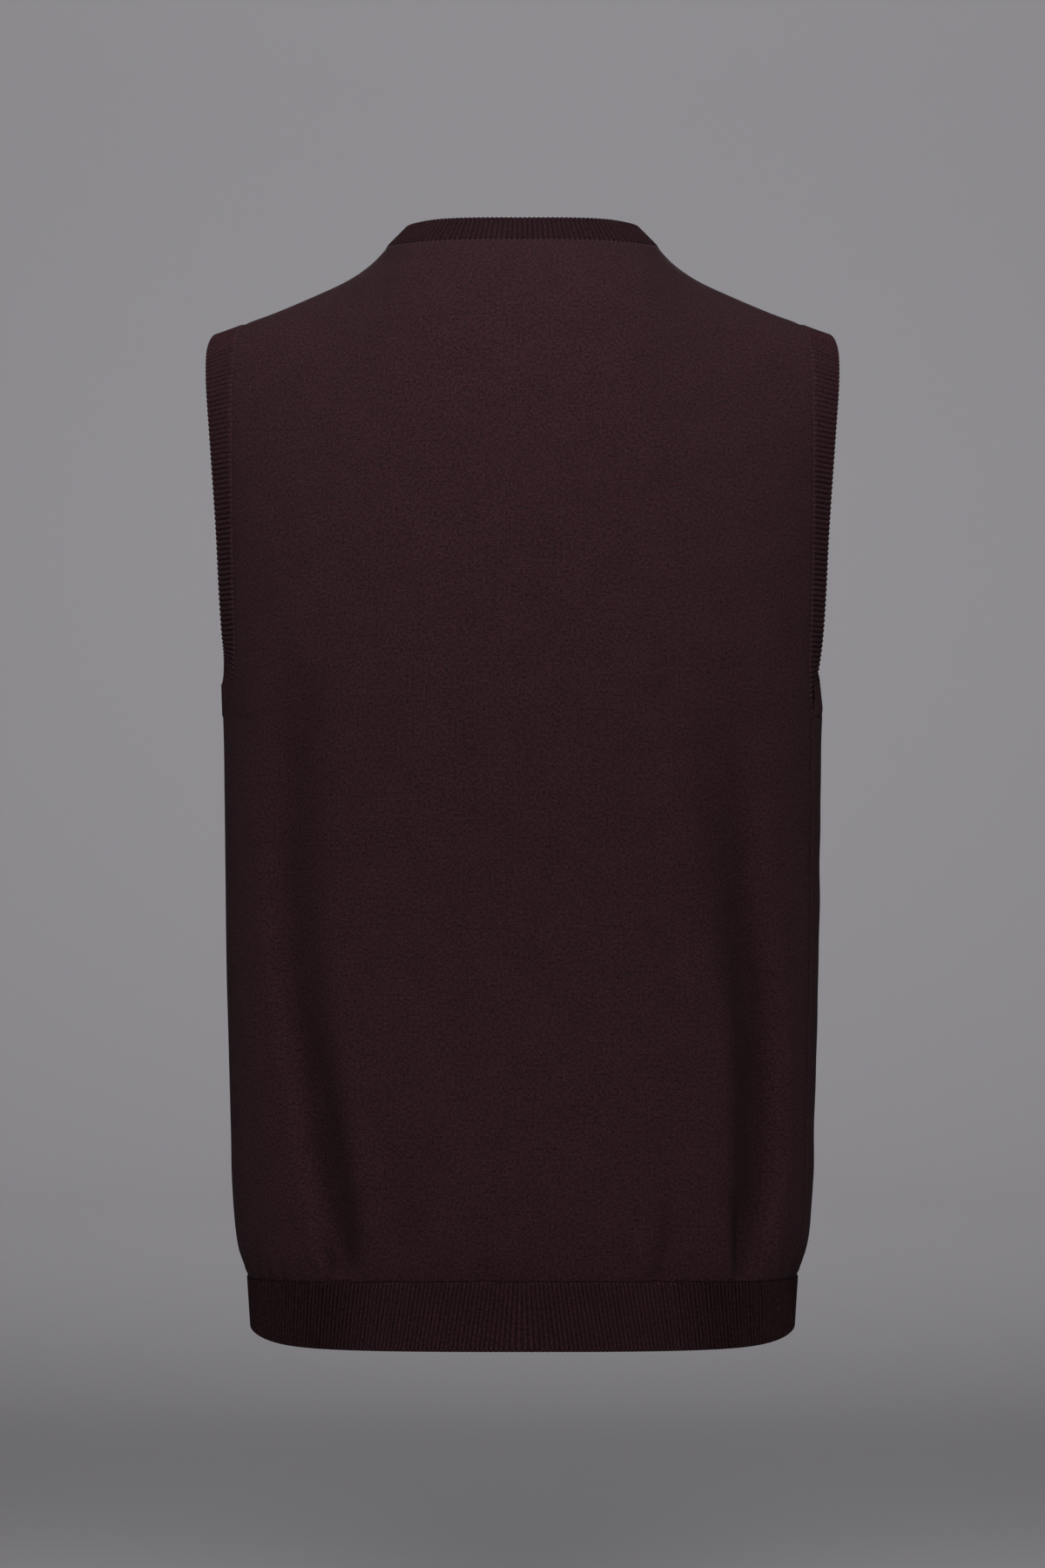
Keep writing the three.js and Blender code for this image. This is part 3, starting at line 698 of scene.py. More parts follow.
def cloth_wall(name, outer, inner, wale, course, closed, materials):
    """A mesh of two grids with their rim. Closed joins the last column to the first."""
    rows, columns = outer.shape[:2]
    ring = np.concatenate([outer, inner[::-1]])
    rings = len(ring)
    vertices = ring.reshape(-1, 3) * MM
    ends = columns if closed else columns - 1
    r, c = np.meshgrid(np.arange(rings), np.arange(ends), indexing="ij")
    r_next = (r + 1) % rings
    corner_rows = np.stack([r, r_next, r_next, r], axis=-1).reshape(-1, 4)
    corner_columns = np.stack([c, c, c + 1, c + 1], axis=-1).reshape(-1, 4)
    slots = np.where(r.reshape(-1) < rows, OUTSIDE, INSIDE)
    if not closed:
        step = np.arange(rows - 1)
        for column, order in ((0, (0, 3, 2, 1)), (columns - 1, (0, 1, 2, 3))):
            cap = np.stack([step, rings - 1 - step, rings - 2 - step, step + 1], axis=-1)
            corner_rows = np.concatenate([corner_rows, cap[:, order[::-1]]])
            corner_columns = np.concatenate([corner_columns, np.full_like(cap, column)])
            slots = np.concatenate([slots, np.full(rows - 1, OUTSIDE)])
    faces = corner_rows * columns + corner_columns % columns

    # A closed wall whose faces look outward has a positive volume
    first, second, third, fourth = (vertices[faces[:, i]] for i in range(4))
    crossed = np.cross(second, third) + np.cross(third, fourth)
    if (first * crossed).sum() < 0:
        faces = faces[:, ::-1]
        corner_rows, corner_columns = corner_rows[:, ::-1], corner_columns[:, ::-1]

    mesh = bpy.data.meshes.new(name)
    mesh.vertices.add(len(vertices))
    mesh.vertices.foreach_set("co", vertices.ravel())
    mesh.loops.add(faces.size)
    mesh.loops.foreach_set("vertex_index", faces.ravel())
    mesh.polygons.add(len(faces))
    mesh.polygons.foreach_set("loop_start", np.arange(0, faces.size, 4))
    mesh.polygons.foreach_set("loop_total", np.full(len(faces), 4))
    mesh.polygons.foreach_set("material_index", slots)
    mesh.polygons.foreach_set("use_smooth", np.ones(len(faces), bool))
    both_wale = np.concatenate([wale, wale[::-1]])
    both_course = np.concatenate([course, course[::-1]])
    places = np.stack([both_wale, both_course], axis=-1)[corner_rows, corner_columns]
    layer = mesh.uv_layers.new(name="knitting")
    layer.data.foreach_set("uv", places.reshape(-1, 2).astype(np.float32).ravel())
    for material in materials:
        mesh.materials.append(material)
    mesh.update()
    mesh.validate()
    piece = bpy.data.objects.new(name, mesh)
    bpy.context.collection.objects.link(piece)
    return piece


print("material slots: outside", OUTSIDE, "and inside", INSIDE)

# %% [markdown]
# ## Wool yarn
# The yarn is dark aubergine wool, carded and loosely spun, then knitted and lightly
# milled. What that gives the eye is a deep, matt, reddish dark with hardly a highlight,
# a soft grey bloom of loose fibre where light grazes it, and a few pale fibre ends.
# An image of knitting would be the quick way. Working the stitches out in nodes is
# sharper and follows the UV map's millimetres exactly.

# %% Small helpers for materials
def colour(hex_code):
    """Linear RGBA from an sRGB hex value."""
    channels = [int(hex_code[i:i + 2], 16) / 255 for i in (1, 3, 5)]
    linear = [c / 12.92 if c <= 0.04045 else ((c + 0.055) / 1.055) ** 2.4 for c in channels]
    return (*linear, 1)


def add(tree, kind, inputs, **settings):
    """Adds a node with its settings, and a value or a link for each input."""
    node = tree.nodes.new(kind)
    for name, value in settings.items():
        setattr(node, name, value)
    for name, value in inputs.items():
        if isinstance(value, bpy.types.NodeSocket):
            tree.links.new(value, node.inputs[name])
        else:
            node.inputs[name].default_value = value
    return node


def new_material(name):
    """An empty node material and its tree."""
    material = bpy.data.materials.new(name)
    material.use_nodes = True
    material.node_tree.nodes.clear()
    return material, material.node_tree


print(f"mid grey is {colour('#808080')[0]:.3f} in linear light")

# %% [markdown]
# Two things are worked out for each place on the cloth: how high the yarn stands there,
# which makes the bump, and how deep it lies, which darkens its colour as painted shade.
# Wool has almost no gloss, so it is rough all over with a low specular, and a little
# sheen stands for its nap. The pale fibre ends are finer than the picture can show, so
# they are drawn about a millimetre across.

# %% The knitted wool material
YARN_LIT = "#533038"
YARN_GREYED = "#4b3538"
# The colour painted as shade deep between the stitches
YARN_PAINTED_SHADE = "#1c0c10"
YARN_FLECK = "#a8949a"
NAP = "#b9a3a8"
# How dark the painted shade in folds and between ribs makes the yarn, at a shade of 1
FOLD_DARKNESS = 0.62


def knitted_wool(name, wale_pitch, course_pitch, lean, stitch_depth, groove, nap=0.06):
    """Carded wool, knitted. Pitches are in millimetres, and depth is that of a stitch.

    Lean is how steeply the two legs of a stitch run together, 0 for the flat bumps of
    the reverse side. Groove is how much painted shade lies between two wales.
    """
    material, tree = new_material(name)
    place = add(tree, "ShaderNodeUVMap", {}, uv_map="knitting").outputs["UV"]

    def noise(scale, detail, roughness=0.5):
        return add(tree, "ShaderNodeTexNoise", {
            "Vector": place, "Scale": scale, "Detail": detail, "Roughness": roughness})

    def math_node(operation, *values):
        inputs = dict(enumerate(values))
        return add(tree, "ShaderNodeMath", inputs, operation=operation).outputs[0]

    def between(value, low, high, to_low=0.0, to_high=1.0):
        return add(tree, "ShaderNodeMapRange", {
            "Value": value, "From Min": low, "From Max": high,
            "To Min": to_low, "To Max": to_high}).outputs[0]

    # Yarn is never laid quite evenly, so the stitches wander by half their size
    wander = noise(0.3, 3.0).outputs["Color"]
    shift = add(tree, "ShaderNodeVectorMath",
                {0: wander, 1: (0.5, 0.5, 0.5)}, operation="SUBTRACT").outputs[0]
    moved = add(tree, "ShaderNodeVectorMath",
                {0: shift, 1: (1.1, 1.3, 0.0), 2: place}, operation="MULTIPLY_ADD").outputs[0]
    stitches = add(tree, "ShaderNodeVectorMath",
                   {0: moved, 1: (1 / wale_pitch, 1 / course_pitch, 0)}, operation="MULTIPLY")
    split = add(tree, "ShaderNodeSeparateXYZ", {0: stitches.outputs[0]})

    # Each leg is round, and the legs of one stitch lean together into a V. Off is the
    # distance from the middle of the wale, 0 to 0.5
    off = math_node("ABSOLUTE", math_node("SUBTRACT", math_node(
        "FRACT", split.outputs["X"]), 0.5))
    leg = math_node("POWER", math_node("SINE", math_node(
        "MULTIPLY", off, 2 * math.pi)), 0.55 if lean else 0.25)
    along = math_node("ADD", split.outputs["Y"], math_node("MULTIPLY", off, -lean))
    along = math_node("ABSOLUTE", math_node("SINE", math_node("MULTIPLY", along, math.pi)))
    yarn = math_node("MULTIPLY", leg, between(along, 0, 1, 0.3))

    # Milling felts the fibre over the stitches, more in some patches than in others
    felted = between(noise(0.16, 3.0).outputs["Fac"], 0.35, 0.65, 0.3, 0.6)
    hair = noise(1.9, 4.0, 0.75).outputs["Fac"]
    clear = math_node("SUBTRACT", 1.0, felted)
    height = math_node("ADD", math_node("MULTIPLY", yarn, clear),
                       math_node("MULTIPLY", hair, math_node("ADD", felted, 0.5)))
    bump = add(tree, "ShaderNodeBump",
               {"Height": height, "Distance": stitch_depth * MM, "Strength": 1.0})

    # Colour: painted shade deep between stitches, lighter on the yarn, mixed in the carding
    groove_light = between(leg, 0, 1, 1 - groove, 1)
    shown = math_node("MULTIPLY", between(yarn, 0, 1, 0.35), groove_light)
    hidden = between(hair, 0.3, 0.7, 0.3, 1.1)
    depth = add(tree, "ShaderNodeMix", {"Factor": felted, "A": shown, "B": hidden})
    carded = add(tree, "ShaderNodeMix",
                 {"Factor": between(noise(0.5, 4.0, 0.7).outputs["Fac"], 0.4, 0.6)},
                 data_type="RGBA")
    carded.inputs["A"].default_value = colour(YARN_LIT)
    carded.inputs["B"].default_value = colour(YARN_GREYED)
    shade = add(tree, "ShaderNodeMix", {"Factor": depth.outputs["Result"]}, data_type="RGBA")
    shade.inputs["A"].default_value = colour(YARN_PAINTED_SHADE)
    tree.links.new(carded.outputs["Result"], shade.inputs["B"])
    patchy = between(noise(0.045, 4.0, 0.6).outputs["Fac"], 0.3, 0.7, 0.93, 1.07)
    speckled = between(noise(0.6, 4.0, 0.9).outputs["Fac"], 0.38, 0.62, 0.4, 1.6)

    # Painted shade: down in a fold or between two ribs the yarn is out of the light
    fold = add(tree, "ShaderNodeAttribute", {}, attribute_name="fold_shade").outputs["Fac"]
    in_fold = math_node("MULTIPLY_ADD", fold, FOLD_DARKNESS - 1, 1.0)
    mottled_and_shaded = math_node("MULTIPLY", math_node("MULTIPLY", patchy, speckled), in_fold)
    tone = add(tree, "ShaderNodeVectorMath",
               {0: shade.outputs["Result"], "Scale": mottled_and_shaded}, operation="SCALE")
    fleck = between(noise(1.1, 2.0, 0.9).outputs["Fac"], 0.69, 0.78, 0, 0.5)
    skin = add(tree, "ShaderNodeMix", {"Factor": fleck}, data_type="RGBA")
    tree.links.new(tone.outputs[0], skin.inputs["A"])
    skin.inputs["B"].default_value = colour(YARN_FLECK)

    shader = add(tree, "ShaderNodeBsdfPrincipled", {
        "Base Color": skin.outputs["Result"],
        "Roughness": 0.95,
        "IOR": 1.5,
        "Specular IOR Level": 0.12,
        "Sheen Weight": nap,
        "Sheen Roughness": 0.5,
        "Sheen Tint": colour(NAP),
        "Normal": bump.outputs["Normal"],
    })
    add(tree, "ShaderNodeOutputMaterial", {"Surface": shader.outputs[0]})
    return material


WALE_PITCH = 1.67
COURSE_PITCH = 1.25
stockinette = knitted_wool("wool_stockinette", WALE_PITCH, COURSE_PITCH,
                           lean=1.3, stitch_depth=0.5, groove=0.55)
reverse = knitted_wool("wool_reverse_stockinette", WALE_PITCH, COURSE_PITCH,
                       lean=0, stitch_depth=0.4, groove=0.1)
print("materials:", stockinette.name, reverse.name)

# %% [markdown]
# ## Knit the body
# The panels are ready as grids. Each becomes a wall 1.6 mm thick, with the stockinette
# face outside and the reverse of the stitch inside.

# %% Build both panels
CLOTH_THICKNESS = 1.6


def write_shade(piece, shade):
    """Stores each point's painted shade, deep in a fold or between ribs, for the material."""
    layer = piece.data.attributes.new("fold_shade", "FLOAT", "POINT")
    layer.data.foreach_set("value", shade.astype(np.float32).ravel())


def body_panel(name, panel):
    inner = panel["points"] - panel["normals"] * CLOTH_THICKNESS
    piece = cloth_wall(name, panel["points"], inner, panel["wale"], panel["course"],
                       False, [stockinette, reverse])
    write_shade(piece, np.concatenate([panel["shade"], 0 * panel["shade"]]))
    return piece


knit_back = body_panel("knit_back", back)
knit_front = body_panel("knit_front", front)
for piece in (knit_back, knit_front):
    print(piece.name, len(piece.data.polygons), "faces")

# %% [markdown]
# ## Ribbed bands
# One by one rib is the same on both sides: a column of stitches stands up, the next sinks
# in, and so on, which lets the band stretch and hug. Bump alone would leave the band's
# edge smooth, so the ribs are real corrugations of the cloth, six points to a rib, with
# a round top and a narrow gap. They are pinched flat where the band is linked to the
# body and run over its free edge.

# %% Corrugate a band
POINTS_PER_RIB = 6
BAND_THICKNESS = 1.5
RIB_ROUNDNESS = 0.7
RIB_MIDDLE = 0.45
EDGE_ROUNDING = 0.9
EDGE_LEAST = 0.02
TUCK = 1.2
TUCK_DEPTH = 0.9
PINCH = 2.6
PINCH_START = 0.6
TURNED_AT = 5
TURN_SMOOTHING = 3.5
SEAM_ROWS = [-TUCK, 0, 0.8, 1.7, 2.8]
MIDDLE_START, MIDDLE_END, MIDDLE_SPACING = 4.5, 2.2, 3.2
EDGE_ROWS = np.array([1.4, 0.9, 0.55, 0.28, 0.08, 0])


def even(values, at, places):
    """Values known at places along a line, read at other places."""
    return np.stack([np.interp(places, at, values[:, i]) for i in range(3)], axis=-1)


def softened(vectors, window, closed):
    """Unit vectors averaged over their neighbours, so that a band turns smoothly."""
    mode = "wrap" if closed else "edge"
    padded = np.pad(vectors, ((window, window), (0, 0)), mode=mode)
    kernel = np.hanning(2 * window + 3)[1:-1]
    kernel /= kernel.sum()
    return np.stack([np.convolve(padded[:, i], kernel, "valid") for i in range(3)], axis=-1)


def band_rows(width):
    """Distances from the seam at which a band has a row of points."""
    rows = max(4, round(width / MIDDLE_SPACING))
    middle = np.linspace(MIDDLE_START, width - MIDDLE_END, rows)
    return np.concatenate([SEAM_ROWS, middle, width - EDGE_ROWS])


def rib_profile(count):
    """Height of the ribs, 0 to 1, at each point along a band."""
    return np.abs(np.sin(math.pi * np.arange(count) / POINTS_PER_RIB)) ** RIB_ROUNDNESS


def ribbed_band(name, sewn, free, cloth, width, ribs, rib_height, closed, material):
    """A ribbed wall between its sewn edge and its free edge, given as lines of points."""
    line = np.concatenate([sewn, sewn[:1]]) if closed else sewn
    at = np.concatenate([[0], np.cumsum(np.linalg.norm(np.diff(line, axis=0), axis=1))])
    count = ribs * POINTS_PER_RIB + (0 if closed else 1)
    places = np.linspace(0, at[-1], count, endpoint=not closed)
    wrap = (lambda v: np.concatenate([v, v[:1]])) if closed else (lambda v: v)
    seam = even(wrap(sewn), at, places)
    across = even(wrap(free), at, places) - seam
    reach = np.linalg.norm(across, axis=1) / width
    window = round(TURN_SMOOTHING * count / at[-1]) + 1
    toward = unit(softened(unit(across), window, closed))
    along = np.roll(seam, -1, axis=0) - np.roll(seam, 1, axis=0)
    if not closed:
        along[0], along[-1] = seam[1] - seam[0], seam[-1] - seam[-2]
    along = softened(unit(along), window, closed)
    cloth_normal = softened(even(wrap(cloth), at, places), window, closed)
    own = np.cross(along, toward)
    own *= np.sign(np.sum(own * cloth_normal, axis=1, keepdims=True))
    own = unit(softened(unit(own), window, closed))

    rib = rib_profile(count)
    outer, inner, course = [], [], []
    for row in band_rows(width):
        turned = ease((row + TUCK) / (TUCK + TURNED_AT))
        normal = unit(unit(cloth_normal) * (1 - turned) + own * turned)
        raised = rib_height * ease((row + PINCH_START) / PINCH) * (rib - RIB_MIDDLE)
        to_edge = np.clip((row - width + EDGE_ROUNDING) / EDGE_ROUNDING, 0, 1)
        half = BAND_THICKNESS / 2 * math.sqrt(max(1 - to_edge**2, EDGE_LEAST))
        sunk = BAND_THICKNESS / 2 + TUCK_DEPTH * (1 - ease((row + TUCK) / (TUCK + 1)))
        middle = seam + toward * (row * reach)[:, None] + normal * (raised - sunk)[:, None]
        outer.append(middle + normal * half)
        inner.append(middle - normal * half)
        course.append(row * reach)
    rib_pitch = at[-1] / ribs
    steps = np.arange(count + 1) * rib_pitch / POINTS_PER_RIB
    course = np.array(course)
    course = np.concatenate([course, course[:, :1]], axis=1)
    wale = np.tile(steps, (len(course), 1))
    piece = cloth_wall(name, np.array(outer), np.array(inner), wale, course, closed,
                       [material, material])
    seam_line = {"seam": seam, "along": unit(along), "toward": toward,
                 "cloth": unit(cloth_normal)}
    print(f"{name}: {at[-1]:.0f} mm long, rib pitch {rib_pitch:.2f} mm")
    return piece, seam_line


print(len(band_rows(20)), "rows of points in a band 20 mm wide")


# %% [markdown]
# Light hardly reaches down between two ribs, and the gap is narrower than the picture can
# show. Each point of a band therefore carries a painted shade for the material: full in the
# gap and none on top of the rib. Some bands also get painted shade all over, the hem more
# toward the body's sides, and the armhole bands a little painted light all over instead.

# %% Shade between the ribs
SHADED_SIDE_X = 75
SHADED_SIDE_FADE = 45


def shade_ribs(piece, line, painted_between_ribs, painted_all_over, painted_at_sides=0):
    """Painted shade between the ribs outside, over the whole band, and at the body's sides."""
    seam = line["seam"]
    rib = rib_profile(len(seam))
    inner = painted_all_over + painted_at_sides * ease((np.abs(seam[:, 0]) - SHADED_SIDE_X) / SHADED_SIDE_FADE)
    outer = inner + painted_between_ribs * (1 - rib)
    rows = len(piece.data.vertices) // len(seam) // 2
    write_shade(piece, np.concatenate([np.tile(outer, rows), np.tile(inner, rows)]))


print(f"bands that darken at the sides do so from {SHADED_SIDE_X} mm off the middle")

# %% [markdown]
# The hem rib is knitted on, and it draws the body in, so it stands almost upright under
# the blousing cloth. Its ribs are the widest and deepest on the vest. It could be one ring,
# but it is knitted as two, one under each panel, that meet at the side seams. The hem
# lifts a little there.

# %% The hem ribs
HEM_RIBS = 160
HEM_RIB_HEIGHT = 1.7
HEM_RIB_PITCH = 2.85
HEM_DEPTH = 40
RIB_COURSE_PITCH = 1.35


def rib_wool(name, pitch):
    return knitted_wool(name, pitch, RIB_COURSE_PITCH,
                        lean=1.1, stitch_depth=0.35, groove=0.7, nap=0.03)


def hem_edge_z(turn):
    return HEM_Z + HEM_LIFT * np.abs(np.cos(turn)) ** HEM_LIFT_FADE


def hem_rib(name, side, panel, material):
    right, left = edge_girths(side, np.array([-1.0]))
    turn = turn_at(right + (left - right) * panel["share"])
    sewn = trunk(hem_seam_z(turn), turn)
    free = trunk(HEM_Z, turn)
    free[:, 2] = hem_edge_z(turn)
    cloth = panel["normals"][0] * (1, 1, 0)
    return ribbed_band(name, sewn, free, unit(cloth), HEM_DEPTH, HEM_RIBS, HEM_RIB_HEIGHT,
                       False, material)


hem_wool = rib_wool("wool_hem_rib", HEM_RIB_PITCH)
rib_hem_back, hem_seam_back = hem_rib("rib_hem_back", "back", back, hem_wool)
rib_hem_front, hem_seam_front = hem_rib("rib_hem_front", "front", front, hem_wool)
# Painted shade between the ribs, a little all over, and more toward the body's sides
shade_ribs(rib_hem_back, hem_seam_back, painted_between_ribs=1.5, painted_all_over=0.1, painted_at_sides=0.9)
shade_ribs(rib_hem_front, hem_seam_front, painted_between_ribs=1.5, painted_all_over=0.1, painted_at_sides=0.9)

# %% [markdown]
# An armhole band is a narrow ring of rib, linked on all the way round. At the shoulder it
# stands out to the side, and toward the underarm it turns in to the hole. A bevel along
# the edge couldn't turn like that, so each place on the seam has its own flare.

# %% The armhole bands
ARMHOLE_RIBS = 190
ARMHOLE_RIB_HEIGHT = 0.8
ARMHOLE_RIB_PITCH = 2.8


def armhole_band(name, hand, material):
    """The closed ring round an armhole, from the underarm up the back and down the front."""
    column = 0 if hand > 0 else -1
    low = np.searchsorted(back["rise"], 0)
    chosen = [(back, slice(low, None)), (front, slice(len(front["rise"]) - 2, low, -1))]
    sewn = np.concatenate([panel["seam"][rows, column] for panel, rows in chosen])
    cloth = np.concatenate([panel["normals"][rows, column] for panel, rows in chosen])
    flare = np.concatenate([
        smooth(ARMHOLE, panel["rise"][rows], flare_of_side)
        for (panel, rows), flare_of_side in zip(chosen, ("flare_back", "flare_front"))
    ])
    along = unit(np.roll(sewn, -1, axis=0) - np.roll(sewn, 1, axis=0))
    inward = unit(np.stack([0 * flare, along[:, 2], -along[:, 1]], axis=-1))
    inward *= np.sign(np.sum(inward * (sewn.mean(axis=0) - sewn), axis=1, keepdims=True))
    toward = inward * np.sqrt(1 - flare**2)[:, None]
    toward[:, 0] = hand * flare
    return ribbed_band(name, sewn, sewn + toward * ARMHOLE_BAND_WIDTH, cloth,
                       ARMHOLE_BAND_WIDTH, ARMHOLE_RIBS, ARMHOLE_RIB_HEIGHT, True, material)


armhole_wool = rib_wool("wool_armhole_rib", ARMHOLE_RIB_PITCH)
rib_armhole_right, armhole_seam_right = armhole_band("rib_armhole_right", 1, armhole_wool)
rib_armhole_left, armhole_seam_left = armhole_band("rib_armhole_left", -1, armhole_wool)
# Painted shade between the ribs, and a little painted light all over
shade_ribs(rib_armhole_right, armhole_seam_right, painted_between_ribs=0.7, painted_all_over=-0.15)
shade_ribs(rib_armhole_left, armhole_seam_left, painted_between_ribs=0.7, painted_all_over=-0.15)

# %% [markdown]
# The neckband is one strip that starts and ends at the point of the V, where it is cut on
# a mitre. Round the back it leans up along the neck, and down the V it lies nearly flat.
# Near the point its width is cut short, so that both ends meet on the middle line.

# %% The neckband
NECK_RIBS = 250
NECK_RIB_HEIGHT = 0.8
NECK_RIB_PITCH = 2.5
MITRE_WIDTH = 0.6


def neckband(name, material):
    """The strip from the point of the V, round the back of the neck, and back to it."""
    middle = SHOULDER_COLUMNS + NECK_COLUMNS_EACH_SIDE
    first, last = SHOULDER_COLUMNS, 2 * middle - SHOULDER_COLUMNS
    runs = [
        (front, NECK_FRONT, np.arange(middle, first, -1), 1),
        (back, NECK_BACK, np.arange(first, last + 1), 0),
        (front, NECK_FRONT, np.arange(last - 1, middle - 1, -1), -1),
    ]
    sewn, free, cloth = [], [], []
    for panel, rows, columns, hand in runs:
        seam = panel["seam"][-1, columns]
        side = hand if hand else np.sign(seam[:, 0])
        out = SHOULDER_TIP * np.abs(1 - 2 * panel["share"][columns])
        neck = np.clip(out / NECK_POINT, 0, 1)
        toward = unit(np.stack([
            side * smooth(rows, neck, "toward_x"),
            smooth(rows, neck, "toward_y"),
            smooth(rows, neck, "toward_z"),
        ], axis=-1))
        width = np.full(len(seam), float(NECKBAND_WIDTH))
        if hand:
            to_mitre = np.abs(seam[:, 0]) / np.abs(toward[:, 0])
            width = np.clip(to_mitre, MITRE_WIDTH, NECKBAND_WIDTH)
        sewn.append(seam)
        free.append(seam + toward * width[:, None])
        cloth.append(panel["normals"][-1, columns])
    return ribbed_band(name, *(np.concatenate(v) for v in (sewn, free, cloth)),
                       NECKBAND_WIDTH, NECK_RIBS, NECK_RIB_HEIGHT, False, material)


neck_wool = rib_wool("wool_neck_rib", NECK_RIB_PITCH)
rib_neck, neck_seam = neckband("rib_neck", neck_wool)
# Painted shade between the ribs and heavily all over the band
shade_ribs(rib_neck, neck_seam, painted_between_ribs=1.2, painted_all_over=0.8)

# %% [markdown]
# ## Linking stitches
# The neckband and the armhole bands are linked on: a machine draws one loop of yarn over
# the band's edge for each stitch. On the face they show as a row of tiny arches, paler
# than the rest because they stand up into the light. A texture could fake them, but they
# catch light from every side, so each one is a small bent length of yarn.

# %% Linked seams
LOOP_WIDTH = 0.62
LOOP_HEIGHT = 1.25
LOOP_LIFT = 0.4
LOOP_FOOT = 0.3
LOOP_SINK = 0.75
LOOP_YARN_RADIUS = 0.27
LOOP_STEPS = 6
LOOP_SIDES = 6
# Painted shaded and lit tones of the linking yarn, mixed fibre by fibre
LINK_SHADED = "#3c242a"
LINK_LIT = "#624850"
FIBRES_PER_METRE = 1800


def linked_seam(name, line, ribs, material):
    """One arch of yarn for each rib, over the edge of the body at the seam."""
    step = POINTS_PER_RIB
    at = np.arange(step // 2, ribs * step, step)
    seam, along = line["seam"][at], line["along"][at]
    body_side, out = -line["toward"][at], line["cloth"][at]
    bend = np.linspace(0, math.pi, LOOP_STEPS + 1)
    round_yarn = np.linspace(0, 2 * math.pi, LOOP_SIDES, endpoint=False)
    rings = []
    for angle in bend:
        centre = (
            seam
            - along * LOOP_WIDTH * math.cos(angle)
            + body_side * (LOOP_HEIGHT * math.sin(angle) - LOOP_FOOT)
            + out * (LOOP_LIFT * math.sin(angle) - LOOP_SINK)
        )
        level = along * math.cos(angle) - body_side * math.sin(angle)
        rings.append([
            centre + LOOP_YARN_RADIUS * (level * math.cos(a) + out * math.sin(a))
            for a in round_yarn
        ])
    points = np.transpose(np.array(rings), (2, 0, 1, 3))
    per_loop = (LOOP_STEPS + 1) * LOOP_SIDES
    faces = []
    for loop in range(len(at)):
        start = loop * per_loop
        for i in range(LOOP_STEPS):
            for j in range(LOOP_SIDES):
                k = (j + 1) % LOOP_SIDES
                low, high = start + i * LOOP_SIDES, start + (i + 1) * LOOP_SIDES
                faces.append((low + j, low + k, high + k, high + j))
        faces.append(tuple(start + j for j in reversed(range(LOOP_SIDES))))
        faces.append(tuple(start + LOOP_STEPS * LOOP_SIDES + j for j in range(LOOP_SIDES)))
    mesh = bpy.data.meshes.new(name)
    mesh.from_pydata((points.reshape(-1, 3) * MM).tolist(), [], faces)
    mesh.polygons.foreach_set("use_smooth", np.ones(len(faces), bool))
    mesh.materials.append(material)
    piece = bpy.data.objects.new(name, mesh)
    bpy.context.collection.objects.link(piece)
    print(f"{name}: {len(at)} loops")
    return piece


def linking_yarn(name):
    """The same wool as the body, twisted hard and smoother, painted paler as a highlight."""
    material, tree = new_material(name)
    place = add(tree, "ShaderNodeTexCoord", {}).outputs["Object"]
    fibre = add(tree, "ShaderNodeTexNoise", {"Vector": place,
                                                 "Scale": FIBRES_PER_METRE, "Detail": 3.0})
    shade = add(tree, "ShaderNodeMix", {"Factor": fibre.outputs["Fac"]}, data_type="RGBA")
    shade.inputs["A"].default_value = colour(LINK_SHADED)
    shade.inputs["B"].default_value = colour(LINK_LIT)
    bump = add(tree, "ShaderNodeBump", {"Height": fibre.outputs["Fac"], "Distance": 0.0001})
    shader = add(tree, "ShaderNodeBsdfPrincipled", {
        "Base Color": shade.outputs["Result"],
        "Roughness": 0.85,
        "Specular IOR Level": 0.25,
        "Sheen Weight": 0.12,
        "Sheen Tint": colour(NAP),
        "Normal": bump.outputs["Normal"],
    })
    add(tree, "ShaderNodeOutputMaterial", {"Surface": shader.outputs[0]})
    return material


seam_yarn = linking_yarn("twisted_linking_yarn")
link_neck = linked_seam("link_neck", neck_seam, NECK_RIBS, seam_yarn)
link_right = linked_seam("link_armhole_right", armhole_seam_right, ARMHOLE_RIBS, seam_yarn)
link_left = linked_seam("link_armhole_left", armhole_seam_left, ARMHOLE_RIBS, seam_yarn)

# %% [markdown]
# ## What each piece stands for
# Every piece rides with the one body of the model and takes the place of its plain CAD
# solid.

# %% Ride and replace
PIECES = [
    (knit_back, "back_panel", "plain_knit", (0.505, 0.665), 0.275, ["knit_front"], []),
    (knit_front, "front_panel", "plain_knit", (0.52, 0.665), 0.275, ["knit_back"], []),
    (rib_neck, "neck_rib", "rib_knit", (0.86, 0.018), None, ["knit_back", "knit_front"],
     [link_neck]),
    (rib_armhole_right, "armhole_rib_right", "rib_knit", (0.72, 0.02), None,
     ["knit_back", "knit_front"], [link_right]),
    (rib_armhole_left, "armhole_rib_left", "rib_knit", (0.72, 0.02), None,
     ["knit_back", "knit_front"], [link_left]),
    (rib_hem_back, "hem_rib_back", "rib_knit", (0.7, 0.04), None, ["knit_back"], []),
    (rib_hem_front, "hem_rib_front", "rib_knit", (0.7, 0.04), None, ["knit_front"], []),
]
for piece, node, slot, flat, area, rests_on, with_pieces in PIECES:
    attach(piece, "root")
    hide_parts(node)
    for extra in with_pieces:
        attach(extra, "root")
print(len(PIECES), "knitted pieces declared")

# %% [markdown]
# ## Studio
# A round studio of pale paper, so that the vest can be seen from every side: a floor that
# curves up into a wall all the way round. Dark wool needs its light from the front and
# above, or its folds vanish, so one soft key does most of the work. A weak low light
# keeps the hem readable, a wide one overhead softens both, and another lights the vest's
# front. The walls behind the vest and before it are lit on their own.

